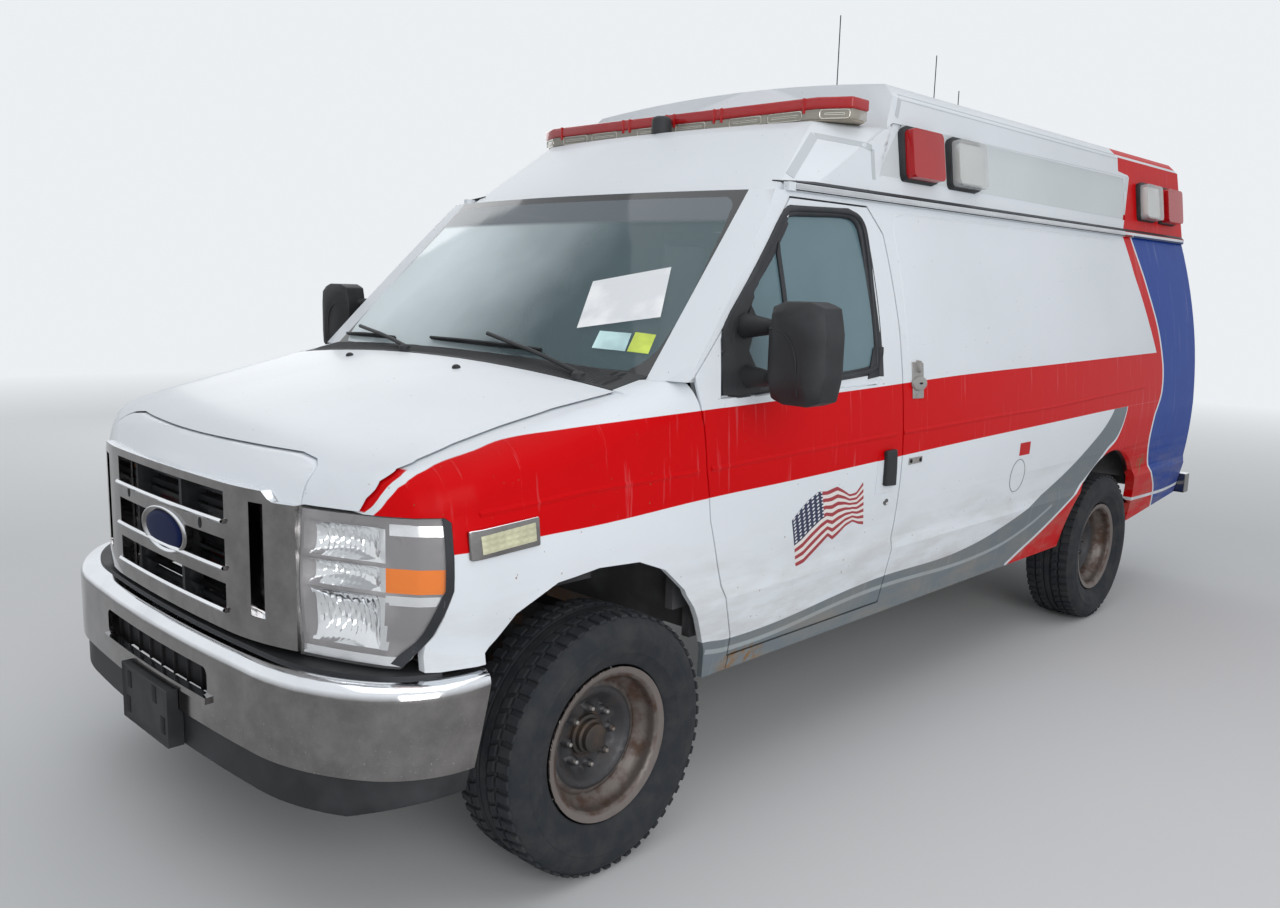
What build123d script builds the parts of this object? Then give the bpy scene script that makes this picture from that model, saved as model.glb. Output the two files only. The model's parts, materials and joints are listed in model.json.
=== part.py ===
from build123d import *
from math import atan2, cos, degrees, radians, sin, tan
import os

os.makedirs("parts", exist_ok=True)

# Millimetres. The van faces -Y, its driver sits on the +X side, +Z is up and it stands on z = 0.
# A station is a distance behind the front axle line, and at() turns it into y.
overall_length = 5600
front_overhang = 880
wheelbase = 3505
front_axle_y = front_overhang - overall_length / 2
rear_end = overall_length - front_overhang
fit = 0.3

# Tyres and wheels
tyre_radius = 373
tyre_width = 245
tyre_shoulder = 38
rim_radius = 220
rim_width = 195
bead_radius = 206
flange = 7
front_track = 1763
rear_track = 1707
front_dish = 100
rear_dish = 118
stud_circle_radius = 82.5
stud_count = 8
spindle_radius = 30
hub_radius = 70

# Steel body section: half width and height of each corner of the side
rocker_x, rocker_z = 928, 440
shoulder_x, shoulder_z = 984, 700
tuck_x, tuck_z = 978, 742
waist_x, waist_z = 1003, 1060
glass_line_x, glass_line_z = 955, 1513
cant_x, cant_z = 845, 1945
wall = 45
seam = 6
door_skin, door_step = 12, 18

# Nose: station, half width and crown height of each of its cross-sections
nose_table = [
    (-793, 260, 1105),
    (-783, 400, 1120),
    (-762, 505, 1138),
    (-729, 612, 1170),
    (-700, 690, 1194),
    (-665, 772, 1210),
    (-625, 852, 1224),
    (-580, 914, 1236),
    (-530, 950, 1248),
    (-440, 977, 1267),
    (-150, 996, 1331),
    (345, 1003, 1440),
    (640, 1003, 1505),
]
nose_fade = 322
nose_flank_in, nose_flank_drop = 15, 172
nose_brow_in, nose_brow_drop = 42, 90
nose_shoulder_in, nose_shoulder_drop = 130, 45
lamp_edge_x = 612
lamp_depth = 70
fender_wall = 20
hood_wall = 32
hood_rear_station = 95
cowl_half = 850
cowl_wall = 25
spare = 30
firewall_station = 345
firewall_wall = 30

# Grille: a chrome frame that bows in plan through (x, station) points
grille_plan = [(0, -795), (350, -786), (lamp_edge_x, -729)]
grille_wall = 45
grille_foot, grille_head = 716, 1108
header_wall = 20
opening_half = 350
openings = [(1014, 1085), (890, 960), (778, 842)]
slot_inner_x, slot_outer_x = 460, 512
slot_foot, slot_head = 781, 1075
lip_high, lip_proud = 13, 7
louvre_half = 530
louvre_foot, louvre_pitch, louvre_high, louvre_count = 748, 36, 17, 10
louvre_front, louvre_rear = -704, -690

# Front bumper: a chrome sheet that bows in plan and rolls in along its top
bumper_plan = [(0, -850), (560, -826), (872, -706), (985, -412)]
bumper_foot, bumper_head = 462, 690
bumper_roll = 38
bumper_sheet = 12
bumper_flange = 60
intake_half, intake_foot, intake_head, intake_corner = 340, 548, 624, 22
valance_foot = 358
pad_foot, pad_head, pad_rear_in = 640, 698, 180

# Windshield: a bent sheet that leans back from its foot
glass_foot_station, glass_foot_z = 150, 1372
glass_lean = 45.3
glass_bend_radius = 3900
glass_wall = 10
glass_foot_x, glass_head_x = 850, 750

# Doors
front_door_rear = 1425
front_door_bottom = 492
door_head_z = 1922
side_door_front_station = 1478
side_door_split = 2010
side_door_rear_station = 2560
side_door_bottom = 520
rear_step_depth = 80
body_rear = rear_end - rear_step_depth
rear_door_half = 790
rear_door_bottom = 640
rear_door_head = 1939
rear_corner_radius = 70
pane_outer_in, pane_inner_in = 14, 20

# Floors
cab_floor_z = 610
load_floor_z = 720
floor_wall = 40
bulkhead_station = 1495
bulkhead_wall = 30
bulkhead_channel = 2
wheelhouse_x = 690
wheelhouse_z = 880
wheelhouse_wall = 25
arch_centre_z = 432
rear_arch_radius = 446
pan_front = 470
tower_z = 680
apron_inner_x, apron_outer_x = 500, 525
pillar_x, pillar_wall = 880, 30
pillar_foot_station, pillar_foot_z = 430, 665

# Raised roof
roof_wall = 30
roof_foot_x = cant_x + 5
gutter_z = 1972
gutter_x = 858
cap_front, cap_corner, cap_corner_x, cap_side = 765, 862, 809, 960
platform_z = 2213
platform_front = 1135
platform_front_x = 685
platform_bow = 69
hump_foot = 1485
hump_ramp = 125
hump_head = hump_foot + hump_ramp
hump_side_x, hump_side_z = 797, 2335
hump_edge_x, hump_edge_z = 748, 2384
hump_crown_z = 2425
roof_rear_lean = 60
recess_depth = 8
roof_lamp_deep, roof_lamp_long, roof_lamp_high = 58, 229, 178
roof_lamp_z = 2130

# Light bar, radome and whips on the roof
bar_half, bar_front, bar_deep, bar_z, bar_high = 810, 1219, 250, 2222, 66
bar_taper_x, bar_taper_front, bar_taper_rear = 115, 55, 95
bar_foot_x = 560
radome_station, radome_radius, radome_high = 1172, 40, 70
whip_radius, whip_base_radius, whip_base_high = 2.5, 16, 28

# Running gear
rail_x = 430
rail_width = 80
rail_top, rail_bottom = 655, 520
rail_rear = body_rear - 40
rail_kick_front, rail_arch_front = wheelbase - 805, wheelbase - 555
rail_arch_rear, rail_kick_rear = wheelbase + 545, wheelbase + 745
leaf_front, leaf_rear = wheelbase - 725, wheelbase + 685
leaf_x, leaf_half = 600, 32
pinion_station = wheelbase - 205
kingpin_x = 735
yoke_low, yoke_high = 270, 480
spring_x, spring_radius, spring_wall = 590, 57, 18
axle_tube_radius = 44
pipe_radius = 34
ball_hole_radius = 12.7

front_wheel_x = front_track / 2
rear_wheel_x = rear_track / 2
hub_z = tyre_radius
half_width = waist_x + spare


def at(station):
    return front_axle_y + station


# Plain forms that the pieces are cut from

def block(x_range, s_range, z_range):
    # A plain box between two corners
    size = [hi - lo for lo, hi in (x_range, s_range, z_range)]
    with BuildPart(mode=Mode.PRIVATE) as box:
        with Locations((x_range[0], at(s_range[0]), z_range[0])):
            Box(*size, align=(Align.MIN, Align.MIN, Align.MIN))
    return box.part


def sided(side, x_from, x_to, s_range, z_range):
    # A box on one side of the van, side being 1 or -1
    return block(sorted((side * x_from, side * x_to)), s_range, z_range)


def prism(plane, points, margin, depth):
    # An outline, drawn out by a margin and run along its plane's normal
    with BuildPart(mode=Mode.PRIVATE) as run:
        with BuildSketch(plane):
            with BuildLine():
                Polyline(*points, close=True)
            make_face()
            if margin:
                offset(amount=margin, kind=Kind.INTERSECTION)
        extrude(amount=depth)
    return run.part


def side_prism(outline, x_from, x_to, margin=0):
    # A run along X from (station, z) points
    points = [(at(station), z) for station, z in outline]
    return prism(Plane.YZ.offset(x_from), points, margin, x_to - x_from)


def front_prism(outline, s_from, s_to, margin=0):
    # A run along Y from (x, z) points
    return prism(Plane.XZ.offset(-at(s_to)), outline, margin, s_to - s_from)


def bowed_slab(plan, inset, z_from, z_to, s_rear, roll=0):
    # The space behind a front that bows in plan by tangent arcs, its top edge rolled in
    with BuildPart(mode=Mode.PRIVATE) as slab:
        with BuildSketch(Plane.XY.offset(z_from)):
            with BuildLine():
                heading = (1, 0)
                for (x_from, s_from), (x_to, s_to) in zip(plan, plan[1:]):
                    arc = TangentArc((x_from, at(s_from)), (x_to, at(s_to)), tangent=heading)
                    heading = arc % 1
                x_end, s_end = plan[-1]
                Polyline((x_end, at(s_end)), (x_end, at(s_rear)), (0, at(s_rear)), (0, at(plan[0][1])))
            make_face()
            mirror(about=Plane.YZ)
            if inset:
                offset(amount=-inset, kind=Kind.INTERSECTION)
        extrude(amount=z_to - z_from)
        if roll:
            rim = slab.edges().group_by(Axis.Z)[-1]
            rear_y = rim.sort_by(Axis.Y)[-1].center().Y
            fillet(rim.filter_by(lambda edge: edge.center().Y < rear_y - 1), roll)
    return slab.part


def shell_piece(outer, inner, keep, cuts=()):
    # What a region keeps of the wall between two hulls, less the cuts
    with BuildPart(mode=Mode.PRIVATE) as piece:
        add(outer)
        add(inner, mode=Mode.SUBTRACT)
        add(keep, mode=Mode.INTERSECT)
        for cut in cuts:
            add(cut, mode=Mode.SUBTRACT)
    return piece.part


# Hulls: the body's closed outer form, or the same drawn in by an inset

def side_section(inset, s_from, s_to):
    # The steel body's cross-section, run along Y
    foot_z = rocker_z - 60
    with BuildPart(mode=Mode.PRIVATE) as run:
        with BuildSketch(Plane.XZ.offset(-at(s_to))):
            with BuildLine():
                Polyline((0, foot_z), (rocker_x - inset, foot_z), (rocker_x - inset, rocker_z),
                         (shoulder_x - inset, shoulder_z), (tuck_x - inset, tuck_z))
                ThreePointArc((tuck_x - inset, tuck_z),
                              ((tuck_x + waist_x) / 2 + 6 - inset, (tuck_z + waist_z) / 2),
                              (waist_x - inset, waist_z))
                ThreePointArc((waist_x - inset, waist_z), (glass_line_x - inset, glass_line_z),
                              (cant_x - inset, cant_z))
                Polyline((cant_x - inset, cant_z), (0, cant_z), (0, foot_z))
            make_face()
            mirror(about=Plane.YZ)
        extrude(amount=s_to - s_from)
    return run.part


def nose_section(inset, station, half_width, crown_z):
    # One closed cross-section of the nose
    w = half_width - inset
    top = crown_z - inset
    tuck = (w - waist_x + tuck_x, tuck_z)
    flank = (w - nose_flank_in, top - nose_flank_drop)
    brow = (w - nose_brow_in, top - nose_brow_drop)
    shoulder = (w - nose_shoulder_in, top - nose_shoulder_drop)
    side = [(w - waist_x + rocker_x, rocker_z), (w - waist_x + shoulder_x, shoulder_z), tuck]
    with BuildSketch(Plane.XZ.offset(-at(station)), mode=Mode.PRIVATE) as outline:
        with BuildLine():
            Polyline(*[(-x, z) for x, z in reversed(side)], *side)
            for way in (1, -1):
                middle_z = (tuck[1] + flank[1]) / 2
                ThreePointArc((way * tuck[0], tuck[1]), (way * w, middle_z), (way * flank[0], flank[1]))
                ThreePointArc((way * flank[0], flank[1]), (way * brow[0], brow[1]),
                              (way * shoulder[0], shoulder[1]))
            ThreePointArc((-shoulder[0], shoulder[1]), (0, top), shoulder)
        make_face()
    return outline.sketch


def nose_hull(inset):
    # An inset moves the front rows back, and that fades out behind the lamps
    front = nose_table[0][0]
    sections = []
    for station, half_width, crown_z in nose_table:
        fade = max(0, 1 - (station - front) / nose_fade)
        sections.append(nose_section(inset, station + inset * fade, half_width, crown_z))
    with BuildPart(mode=Mode.PRIVATE) as hull:
        loft(sections, ruled=True)
    return hull.part


def ahead_of_glass(inset):
    # The space in front of the windshield's bent, leaning face
    lean = radians(glass_lean)
    drop, reach = 120, 900
    foot = at(glass_foot_station) + inset / sin(lean) - drop / tan(lean)
    edge = glass_bend_radius - (glass_bend_radius ** 2 - waist_x ** 2) ** 0.5
    with BuildPart(mode=Mode.PRIVATE) as run:
        with BuildSketch(Plane.XY.offset(glass_foot_z - drop)):
            with BuildLine():
                ThreePointArc((-waist_x, foot + edge), (0, foot), (waist_x, foot + edge))
                Polyline((waist_x, foot + edge), (waist_x, foot - 1200), (-waist_x, foot - 1200),
                         (-waist_x, foot + edge))
            make_face()
        extrude(amount=reach / sin(lean), dir=(0, cos(lean), sin(lean)))
    return run.part


def cabin_hull(inset):
    # Everything behind the nose, up to the cant rails
    front = glass_foot_station - 100
    side, rear = half_width - inset, at(body_rear) - inset
    section, glass = side_section(inset, front, body_rear), ahead_of_glass(inset)
    with BuildPart(mode=Mode.PRIVATE) as hull:
        with BuildSketch(Plane.XY):
            with BuildLine():
                Polyline((side - rear_corner_radius, rear), (0, rear), (0, at(front)), (side, at(front)),
                         (side, rear - rear_corner_radius))
                RadiusArc((side, rear - rear_corner_radius), (side - rear_corner_radius, rear),
                          -rear_corner_radius)
            make_face()
            mirror(about=Plane.YZ)
        extrude(amount=cant_z)
        add(section, mode=Mode.INTERSECT)
        add(glass, mode=Mode.SUBTRACT)
    return hull.part


def roof_section(inset, plane, points, bow):
    # A cap section in plan: half its outline, with the bow of its front edge
    (x_front, s_front), (x_side, s_side) = points
    with BuildSketch(plane, mode=Mode.PRIVATE) as outline:
        with BuildLine():
            front, side = x_front - inset, x_side - inset
            ThreePointArc((-front, at(s_front) + inset), (0, at(s_front - bow) + inset),
                          (front, at(s_front) + inset))
            for way in (1, -1):
                Polyline((way * front, at(s_front) + inset), (way * side, at(s_side) + inset),
                         (way * side, at(hump_head)))
            Line((side, at(hump_head)), (-side, at(hump_head)))
        make_face()
    return outline.sketch


def roof_hull(inset):
    side_run = (platform_z - cant_z) / (hump_side_z - cant_z)
    platform_side_x = roof_foot_x - (roof_foot_x - hump_side_x) * side_run
    foot = roof_section(inset, Plane.XY.offset(cant_z), [(cap_corner_x, cap_corner), (roof_foot_x, cap_side)],
                        cap_corner - cap_front)
    head = roof_section(inset, Plane.XY.offset(platform_z - inset),
                        [(platform_front_x, platform_front + platform_bow), (platform_side_x, hump_foot)],
                        platform_bow)
    rear = body_rear - inset
    ramp = side_prism([(hump_foot - 200, platform_z - inset), (hump_foot + inset, platform_z - inset),
                       (hump_head + inset, hump_crown_z + 60), (hump_foot - 200, hump_crown_z + 60)], -900, 900)
    back = side_prism([(rear - roof_rear_lean, hump_crown_z + 60), (rear, cant_z), (rear + 60, cant_z),
                       (rear + 60, hump_crown_z + 60)], -900, 900)
    with BuildPart(mode=Mode.PRIVATE) as hull:
        loft([foot, head], ruled=True)
        with BuildSketch(Plane.XZ.offset(-at(rear))):
            with BuildLine():
                x1, x2, x3 = roof_foot_x - inset, hump_side_x - inset, hump_edge_x - inset
                edge_z = hump_edge_z - inset
                ThreePointArc((-x3, edge_z), (0, hump_crown_z - inset), (x3, edge_z))
                Polyline((x3, edge_z), (x2, hump_side_z), (x1, cant_z), (-x1, cant_z), (-x2, hump_side_z),
                         (-x3, edge_z))
            make_face()
        extrude(amount=rear - hump_foot)
        add(ramp, mode=Mode.SUBTRACT)
        add(back, mode=Mode.SUBTRACT)
    return hull.part


nose_outer, nose_lined, nose_hollow = nose_hull(0), nose_hull(fender_wall), nose_hull(hood_wall)
cabin_outer, cabin_inner, cabin_glazed = cabin_hull(0), cabin_hull(wall), cabin_hull(glass_wall)
door_depth = (700, half_width)

# Outlines in side view, as (station, z) points
hood_line = [(-900, 1087), (-652, 1087), (-640, 1118), (-612, 1160), (-575, 1187), (-525, 1204), (-412, 1232),
             (-262, 1266), (-96, 1302), (hood_rear_station, 1340)]
lamp_outline = [(-900, 708), (-600, 708), (-545, 795), (-508, 905), (-507, 1068), (-522, 1081), (-900, 1081)]
front_arch = [(-416, 400), (-416, 730), (-385, 760), (-333, 818), (-208, 878), (-69, 893), (83, 883), (191, 841),
              (290, 761), (362, 654), (421, 540), (450, 400)]
front_door_outline = [(309, 1379), (340, 1240), (348, 1110), (372, 961), (428, 814), (484, 693), (545, 560),
                      (552, front_door_bottom), (front_door_rear, front_door_bottom), (front_door_rear, 1500),
                      (front_door_rear - 25, door_head_z - 90), (front_door_rear - 95, door_head_z),
                      (880, door_head_z)]
door_window = [(415, 1312), (428, 1440), (862, 1872), (930, 1888), (1225, 1888), (1268, 1850), (1292, 1700),
               (1296, 1345), (1270, 1312)]
side_doorway = [(side_door_front_station, side_door_bottom), (side_door_rear_station, side_door_bottom),
                (side_door_rear_station, door_head_z), (side_door_front_station, door_head_z)]
fender_lamp = [(-477, 1047), (-279, 1062), (-276, 988), (-474, 975)]
recess_outline = [(1415, 2028), (1535, 2238), (3770, 2238), (3770, 2028)]

# Outlines in front view, as (x, z) points
glass_outline = [(-glass_foot_x, 1362), (glass_foot_x, 1362), (glass_head_x, cant_z + 20),
                 (-glass_head_x, cant_z + 20)]
frame_half = [(lamp_edge_x, grille_foot), (lamp_edge_x, 1083), (545, 1083), (528, 1090),
              (508, grille_head)]
header_half = [(lamp_edge_x, 1150), (600, 1168), (572, 1180), (500, 1188)]

# Side panels, the left one whole and the right one open for the cargo doors
windshield_gap = front_prism(glass_outline, 50, 1100)
front_door_gap = side_prism(front_door_outline, *door_depth, seam)
rear_gap = block((0, rear_door_half + seam), (body_rear - wall - 60, body_rear + 10),
                 (rear_door_bottom - seam, cant_z + 10))
with BuildPart(mode=Mode.PRIVATE) as rear_arch:
    with BuildSketch(Plane.YZ.offset(600)):
        with Locations((at(wheelbase), arch_centre_z)):
            Circle(rear_arch_radius)
    extrude(amount=half_width - 600)
side_keep = side_prism([(150, 1366), (558, 1366), (558, rocker_z), (3980, rocker_z), (body_rear + 5, 520),
                        (body_rear + 5, cant_z + 5), (150, cant_z + 5)], *door_depth)
side_panel = shell_piece(cabin_outer, cabin_inner, side_keep,
                         [windshield_gap, front_door_gap, rear_arch.part, rear_gap])
with BuildPart() as side_panel_left:
    add(side_panel)
    for z in (820, 1650):
        add(block((rear_door_half + seam, 850), (body_rear - wall - 25, body_rear - wall + 5), (z, z + 60)))
        add(block((rear_door_half - 60, 850), (body_rear - wall - 25, body_rear - wall - fit), (z, z + 60)))

cargo_doorway = side_prism(side_doorway, *door_depth, seam)
strap_seat, strap_back = side_section(wall + fit, 2500, 2700), side_section(wall + 25, 2500, 2700)
strap_root = side_section(wall - 2, 2500, 2700)
straps = []
for z in (load_floor_z + 60, 1620):
    strap = block(door_depth, (side_door_rear_station - 60, side_door_rear_station + 50), (z, z + 70))
    tail = block(door_depth, (side_door_rear_station + seam, side_door_rear_station + 50), (z, z + 70))
    straps += [(strap & strap_seat) - strap_back, (tail & strap_root) - strap_back]
with BuildPart(mode=Mode.PRIVATE) as cargo_side:
    add(side_panel_left.part)
    add(cargo_doorway, mode=Mode.SUBTRACT)
    for strap in straps:
        add(strap)
with BuildPart() as side_panel_right:
    mirror(cargo_side.part, about=Plane.YZ)


# Doors on the sides: a skin, and behind it an inner pan that is set back all round
def side_leaf(outline, window, s_from, s_to):
    outer, middle = side_section(0, s_from, s_to), side_section(door_skin, s_from, s_to)
    inner = side_section(wall, s_from, s_to)
    skin = shell_piece(outer, middle, side_prism(outline, *door_depth), [window])
    pan = shell_piece(middle, inner, side_prism(outline, *door_depth, -door_step), [window])
    return skin + pan


pane_outer, pane_inner = side_section(pane_outer_in, 250, 2700), side_section(pane_inner_in, 250, 2700)
front_leaf = side_leaf(front_door_outline, side_prism(door_window, *door_depth), 250, 1500)
front_pane = shell_piece(pane_outer, pane_inner, side_prism(door_window, *door_depth, -fit))
with BuildPart() as front_door_left:
    add(front_leaf)
with BuildPart() as front_door_right:
    mirror(front_leaf, about=Plane.YZ)
with BuildPart() as front_door_glass_left:
    add(front_pane)
with BuildPart() as front_door_glass_right:
    mirror(front_pane, about=Plane.YZ)


def cargo_door(s_from, s_to):
    # A cargo door and its pane, drawn on the left
    outline = [(s_from, side_door_bottom), (s_to, side_door_bottom), (s_to, door_head_z), (s_from, door_head_z)]
    window = [(s_from + 90, 1330), (s_to - 90, 1330), (s_to - 90, 1840), (s_from + 90, 1840)]
    leaf = side_leaf(outline, side_prism(window, *door_depth), 1400, 2700)
    return leaf, shell_piece(pane_outer, pane_inner, side_prism(window, *door_depth, -fit))


front_cargo_leaf, front_cargo_pane = cargo_door(side_door_front_station, side_door_split - seam / 2)
rear_cargo_leaf, rear_cargo_pane = cargo_door(side_door_split + seam / 2, side_door_rear_station)
with BuildPart() as side_door_front:
    mirror(front_cargo_leaf, about=Plane.YZ)
with BuildPart() as side_door_glass_front:
    mirror(front_cargo_pane, about=Plane.YZ)
with BuildPart() as side_door_rear:
    mirror(rear_cargo_leaf, about=Plane.YZ)
with BuildPart() as side_door_glass_rear:
    mirror(rear_cargo_pane, about=Plane.YZ)

# Rear doors
rear_pane_x = (seam / 2 + 110, rear_door_half - 110)
rear_pane_z = (1330, 1820)
rear_skin = block((seam / 2, rear_door_half), (body_rear - door_skin, body_rear), (rear_door_bottom, rear_door_head))
rear_pan = block((seam / 2 + door_step, rear_door_half - door_step), (body_rear - wall, body_rear - door_skin),
                 (rear_door_bottom + door_step, rear_door_head - door_step))
rear_window = block(rear_pane_x, (body_rear - wall - 5, body_rear + 5), rear_pane_z)
with BuildPart() as rear_door_left:
    add(rear_skin)
    add(rear_pan)
    add(rear_window, mode=Mode.SUBTRACT)
with BuildPart() as rear_door_right:
    mirror(rear_door_left.part, about=Plane.YZ)
with BuildPart() as rear_door_glass_left:
    add(block((rear_pane_x[0] + fit, rear_pane_x[1] - fit), (body_rear - 20, body_rear - 14),
              (rear_pane_z[0] + fit, rear_pane_z[1] - fit)))
with BuildPart() as rear_door_glass_right:
    mirror(rear_door_glass_left.part, about=Plane.YZ)

with BuildPart() as windshield:
    add(shell_piece(cabin_outer, cabin_glazed, front_prism(glass_outline, 50, 1100, -fit)))

# Nose panels
header_outline = [(-x, z) for x, z in reversed(header_half)]
front_outline = [(-lamp_edge_x, grille_foot), (lamp_edge_x, grille_foot), *header_half, *header_outline]
frame_outline = [*frame_half, *[(-x, z) for x, z in reversed(frame_half)]]
hood_region = hood_line + [(hood_rear_station, 1700), (-900, 1700)]
across = (-half_width, half_width)
grille_gap = front_prism(front_outline, -900, -590, seam)
with BuildPart() as hood:
    add(shell_piece(nose_outer, nose_hollow, side_prism(hood_region, *across), [grille_gap]))

fender_keep = side_prism([(-700, 1000), (-700, 1500), (88, 1500), (101, 1366), (552, 1366), (552, rocker_z),
                          (-300, rocker_z), (-300, 702), (-560, 702), (-560, 1000)], lamp_edge_x, half_width)
hood_gap = side_prism(hood_region, *across, seam)
lamp_gap = side_prism(lamp_outline, lamp_edge_x - 5, half_width, fit)
arch_gap = side_prism(front_arch, 600, half_width)
cowl_gap = block((600, cowl_half + 3), (hood_rear_station - 8, 600), (1150, 1600))
with BuildPart() as front_fenders:
    add(shell_piece(nose_outer, nose_lined, fender_keep, [hood_gap, front_door_gap, lamp_gap, arch_gap, cowl_gap]))
    mirror(about=Plane.YZ)
with BuildPart() as headlamps:
    add(shell_piece(nose_outer, nose_hull(lamp_depth), side_prism(lamp_outline, lamp_edge_x + fit, half_width)))
    mirror(about=Plane.YZ)
with BuildPart() as fender_lamps:
    add(shell_piece(nose_hull(-11), nose_hull(-fit), side_prism(fender_lamp, 800, half_width)))
    mirror(about=Plane.YZ)
cowl_keep = block((-cowl_half, cowl_half), (hood_rear_station + seam, 330), (1200, 1500))
with BuildPart() as cowl_grille:
    add(shell_piece(nose_outer, nose_hull(cowl_wall), cowl_keep, [cabin_outer]))


# Grille: a bowed chrome frame with lipped bars, under a painted header
def grille_slab(inset, z_from, z_to):
    return bowed_slab(grille_plan, inset, z_from, z_to, -600)


header = shell_piece(nose_outer, nose_hull(header_wall), front_prism(front_outline, -900, -590),
                     [front_prism([(-900, 500), (900, 500), (900, 1083), *frame_half[2:],
                                   *[(-x, z) for x, z in reversed(frame_half[2:])], (-900, 1083)], -900, -500)])
with BuildPart() as grille:
    add(grille_slab(0, grille_foot, grille_head))
    add(grille_slab(0, grille_foot - 5, grille_head + 5).moved(Location((0, grille_wall, 0))), mode=Mode.SUBTRACT)
    add(front_prism(frame_outline, -900, -600), mode=Mode.INTERSECT)
    with BuildSketch(Plane.XZ.offset(-at(-600))):
        for foot, head in openings:
            with Locations((0, (foot + head) / 2)):
                Rectangle(2 * opening_half, head - foot)
        for way in (1, -1):
            with Locations((way * (slot_inner_x + slot_outer_x) / 2, (slot_foot + slot_head) / 2)):
                Rectangle(slot_outer_x - slot_inner_x, slot_head - slot_foot)
    extrude(amount=300, mode=Mode.SUBTRACT)
    for foot, head in openings:
        lip_range = (foot - lip_high, foot)
        lip = grille_slab(-lip_proud, *lip_range) - grille_slab(5, lip_range[0] - 5, lip_range[1] + 5)
        add(lip & block((-opening_half - 4, opening_half + 4), (-900, -740), (foot - lip_high, foot)))
    add(header)

grille_bend = (grille_plan[1][0] ** 2 + (grille_plan[1][1] - grille_plan[0][1]) ** 2) / (
    2 * (grille_plan[1][1] - grille_plan[0][1]))
with BuildPart() as grille_louvres:
    for index in range(louvre_count):
        foot = louvre_foot + louvre_pitch * index
        add(block((-louvre_half, louvre_half), (louvre_front, louvre_rear), (foot, foot + louvre_high)))
    for x in (-330, 0, 330):
        bow = grille_bend - (grille_bend ** 2 - (abs(x) + 8) ** 2) ** 0.5
        seat = grille_plan[0][1] + bow + grille_wall + fit
        add(block((x - 8, x + 8), (seat, louvre_rear + 15), (louvre_foot, louvre_foot + louvre_pitch * louvre_count)))


# Front bumper with an intake, above a black valance
def bumper_slab(inset, z_from, z_to, roll=0):
    return bowed_slab(bumper_plan, inset, z_from, z_to, -250, roll)


rake = side_prism([(-409, 702), (-506, 340), (-100, 340), (-100, 702)], -1100, 1100)
with BuildPart() as front_bumper:
    add(bumper_slab(0, bumper_foot, bumper_head, bumper_roll))
    add(bumper_slab(bumper_sheet, bumper_foot - 10, bumper_head - bumper_sheet, bumper_roll - bumper_sheet),
        mode=Mode.SUBTRACT)
    add(bumper_slab(bumper_flange, bumper_foot, bumper_head + 10), mode=Mode.SUBTRACT)
    add(rake, mode=Mode.SUBTRACT)
    with BuildSketch(Plane.XZ.offset(-at(-700))):
        with Locations((0, (intake_foot + intake_head) / 2)):
            RectangleRounded(2 * intake_half, intake_head - intake_foot, intake_corner)
    extrude(amount=200, mode=Mode.SUBTRACT)
    lip = bumper_slab(-12, 530, intake_foot) - bumper_slab(5, 520, intake_foot + 10)
    add(lip & block((-intake_half - 10, intake_half + 10), (-900, -700), (530, intake_foot)))

valance_cut = front_prism([(-1100, 440), (-800, 352), (800, 352), (1100, 440), (1100, 300), (-1100, 300)],
                          -1000, -300)
plate_bracket = block((-142, 172), (-front_overhang, -836), (357, 522))
with BuildPart() as bumper_valance:
    add(bumper_slab(14, valance_foot, bumper_foot - fit))
    add(bumper_slab(84, valance_foot - 5, bumper_foot), mode=Mode.SUBTRACT)
    add(valance_cut, mode=Mode.SUBTRACT)
    add(plate_bracket)
    add(bumper_slab(-fit, bumper_foot - fit, bumper_head), mode=Mode.SUBTRACT)
    add(bumper_slab(bumper_flange + fit, pad_foot, pad_head) - bumper_slab(pad_rear_in, pad_foot - 5, pad_head + 5)
        - block((-1100, 1100), (-520, -200), (600, 800)))
    add(rake, mode=Mode.SUBTRACT)

# Raised roof
roof_outer = roof_hull(0)
recess = side_prism(recess_outline, 700, 900) & (roof_outer - roof_hull(recess_depth))
with BuildPart() as raised_roof:
    add(roof_outer)
    add(roof_hull(roof_wall), mode=Mode.SUBTRACT)
    add(recess, mode=Mode.SUBTRACT)
    add(recess.mirror(Plane.YZ), mode=Mode.SUBTRACT)
    for side in (1, -1):
        add(sided(side, cant_x - 8, gutter_x, (cap_corner, body_rear - 10), (cant_z, gutter_z)))

side_lean = degrees(atan2(roof_foot_x - hump_side_x, hump_side_z - cant_z))


def roof_lamp(station, sunk):
    # One warning lamp on the left, standing off the leaning roof side
    x = roof_foot_x - (roof_lamp_z - cant_z) * tan(radians(side_lean)) - sunk + fit
    with BuildPart(mode=Mode.PRIVATE) as lamp:
        Box(roof_lamp_deep, roof_lamp_long, roof_lamp_high, align=(Align.MIN, Align.CENTER, Align.CENTER))
        fillet(lamp.edges().filter_by(Axis.X), 22)
    return lamp.part.locate(Location((x, at(station), roof_lamp_z), (0, -side_lean, 0)))


with BuildPart() as warning_lamps_red:
    for station, sunk in ((1700, recess_depth), (4370, 0)):
        add(roof_lamp(station, sunk))
    mirror(about=Plane.YZ)
with BuildPart() as warning_lamps_clear:
    for station, sunk in ((2050, recess_depth), (4060, 0)):
        add(roof_lamp(station, sunk))
    mirror(about=Plane.YZ)

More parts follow.
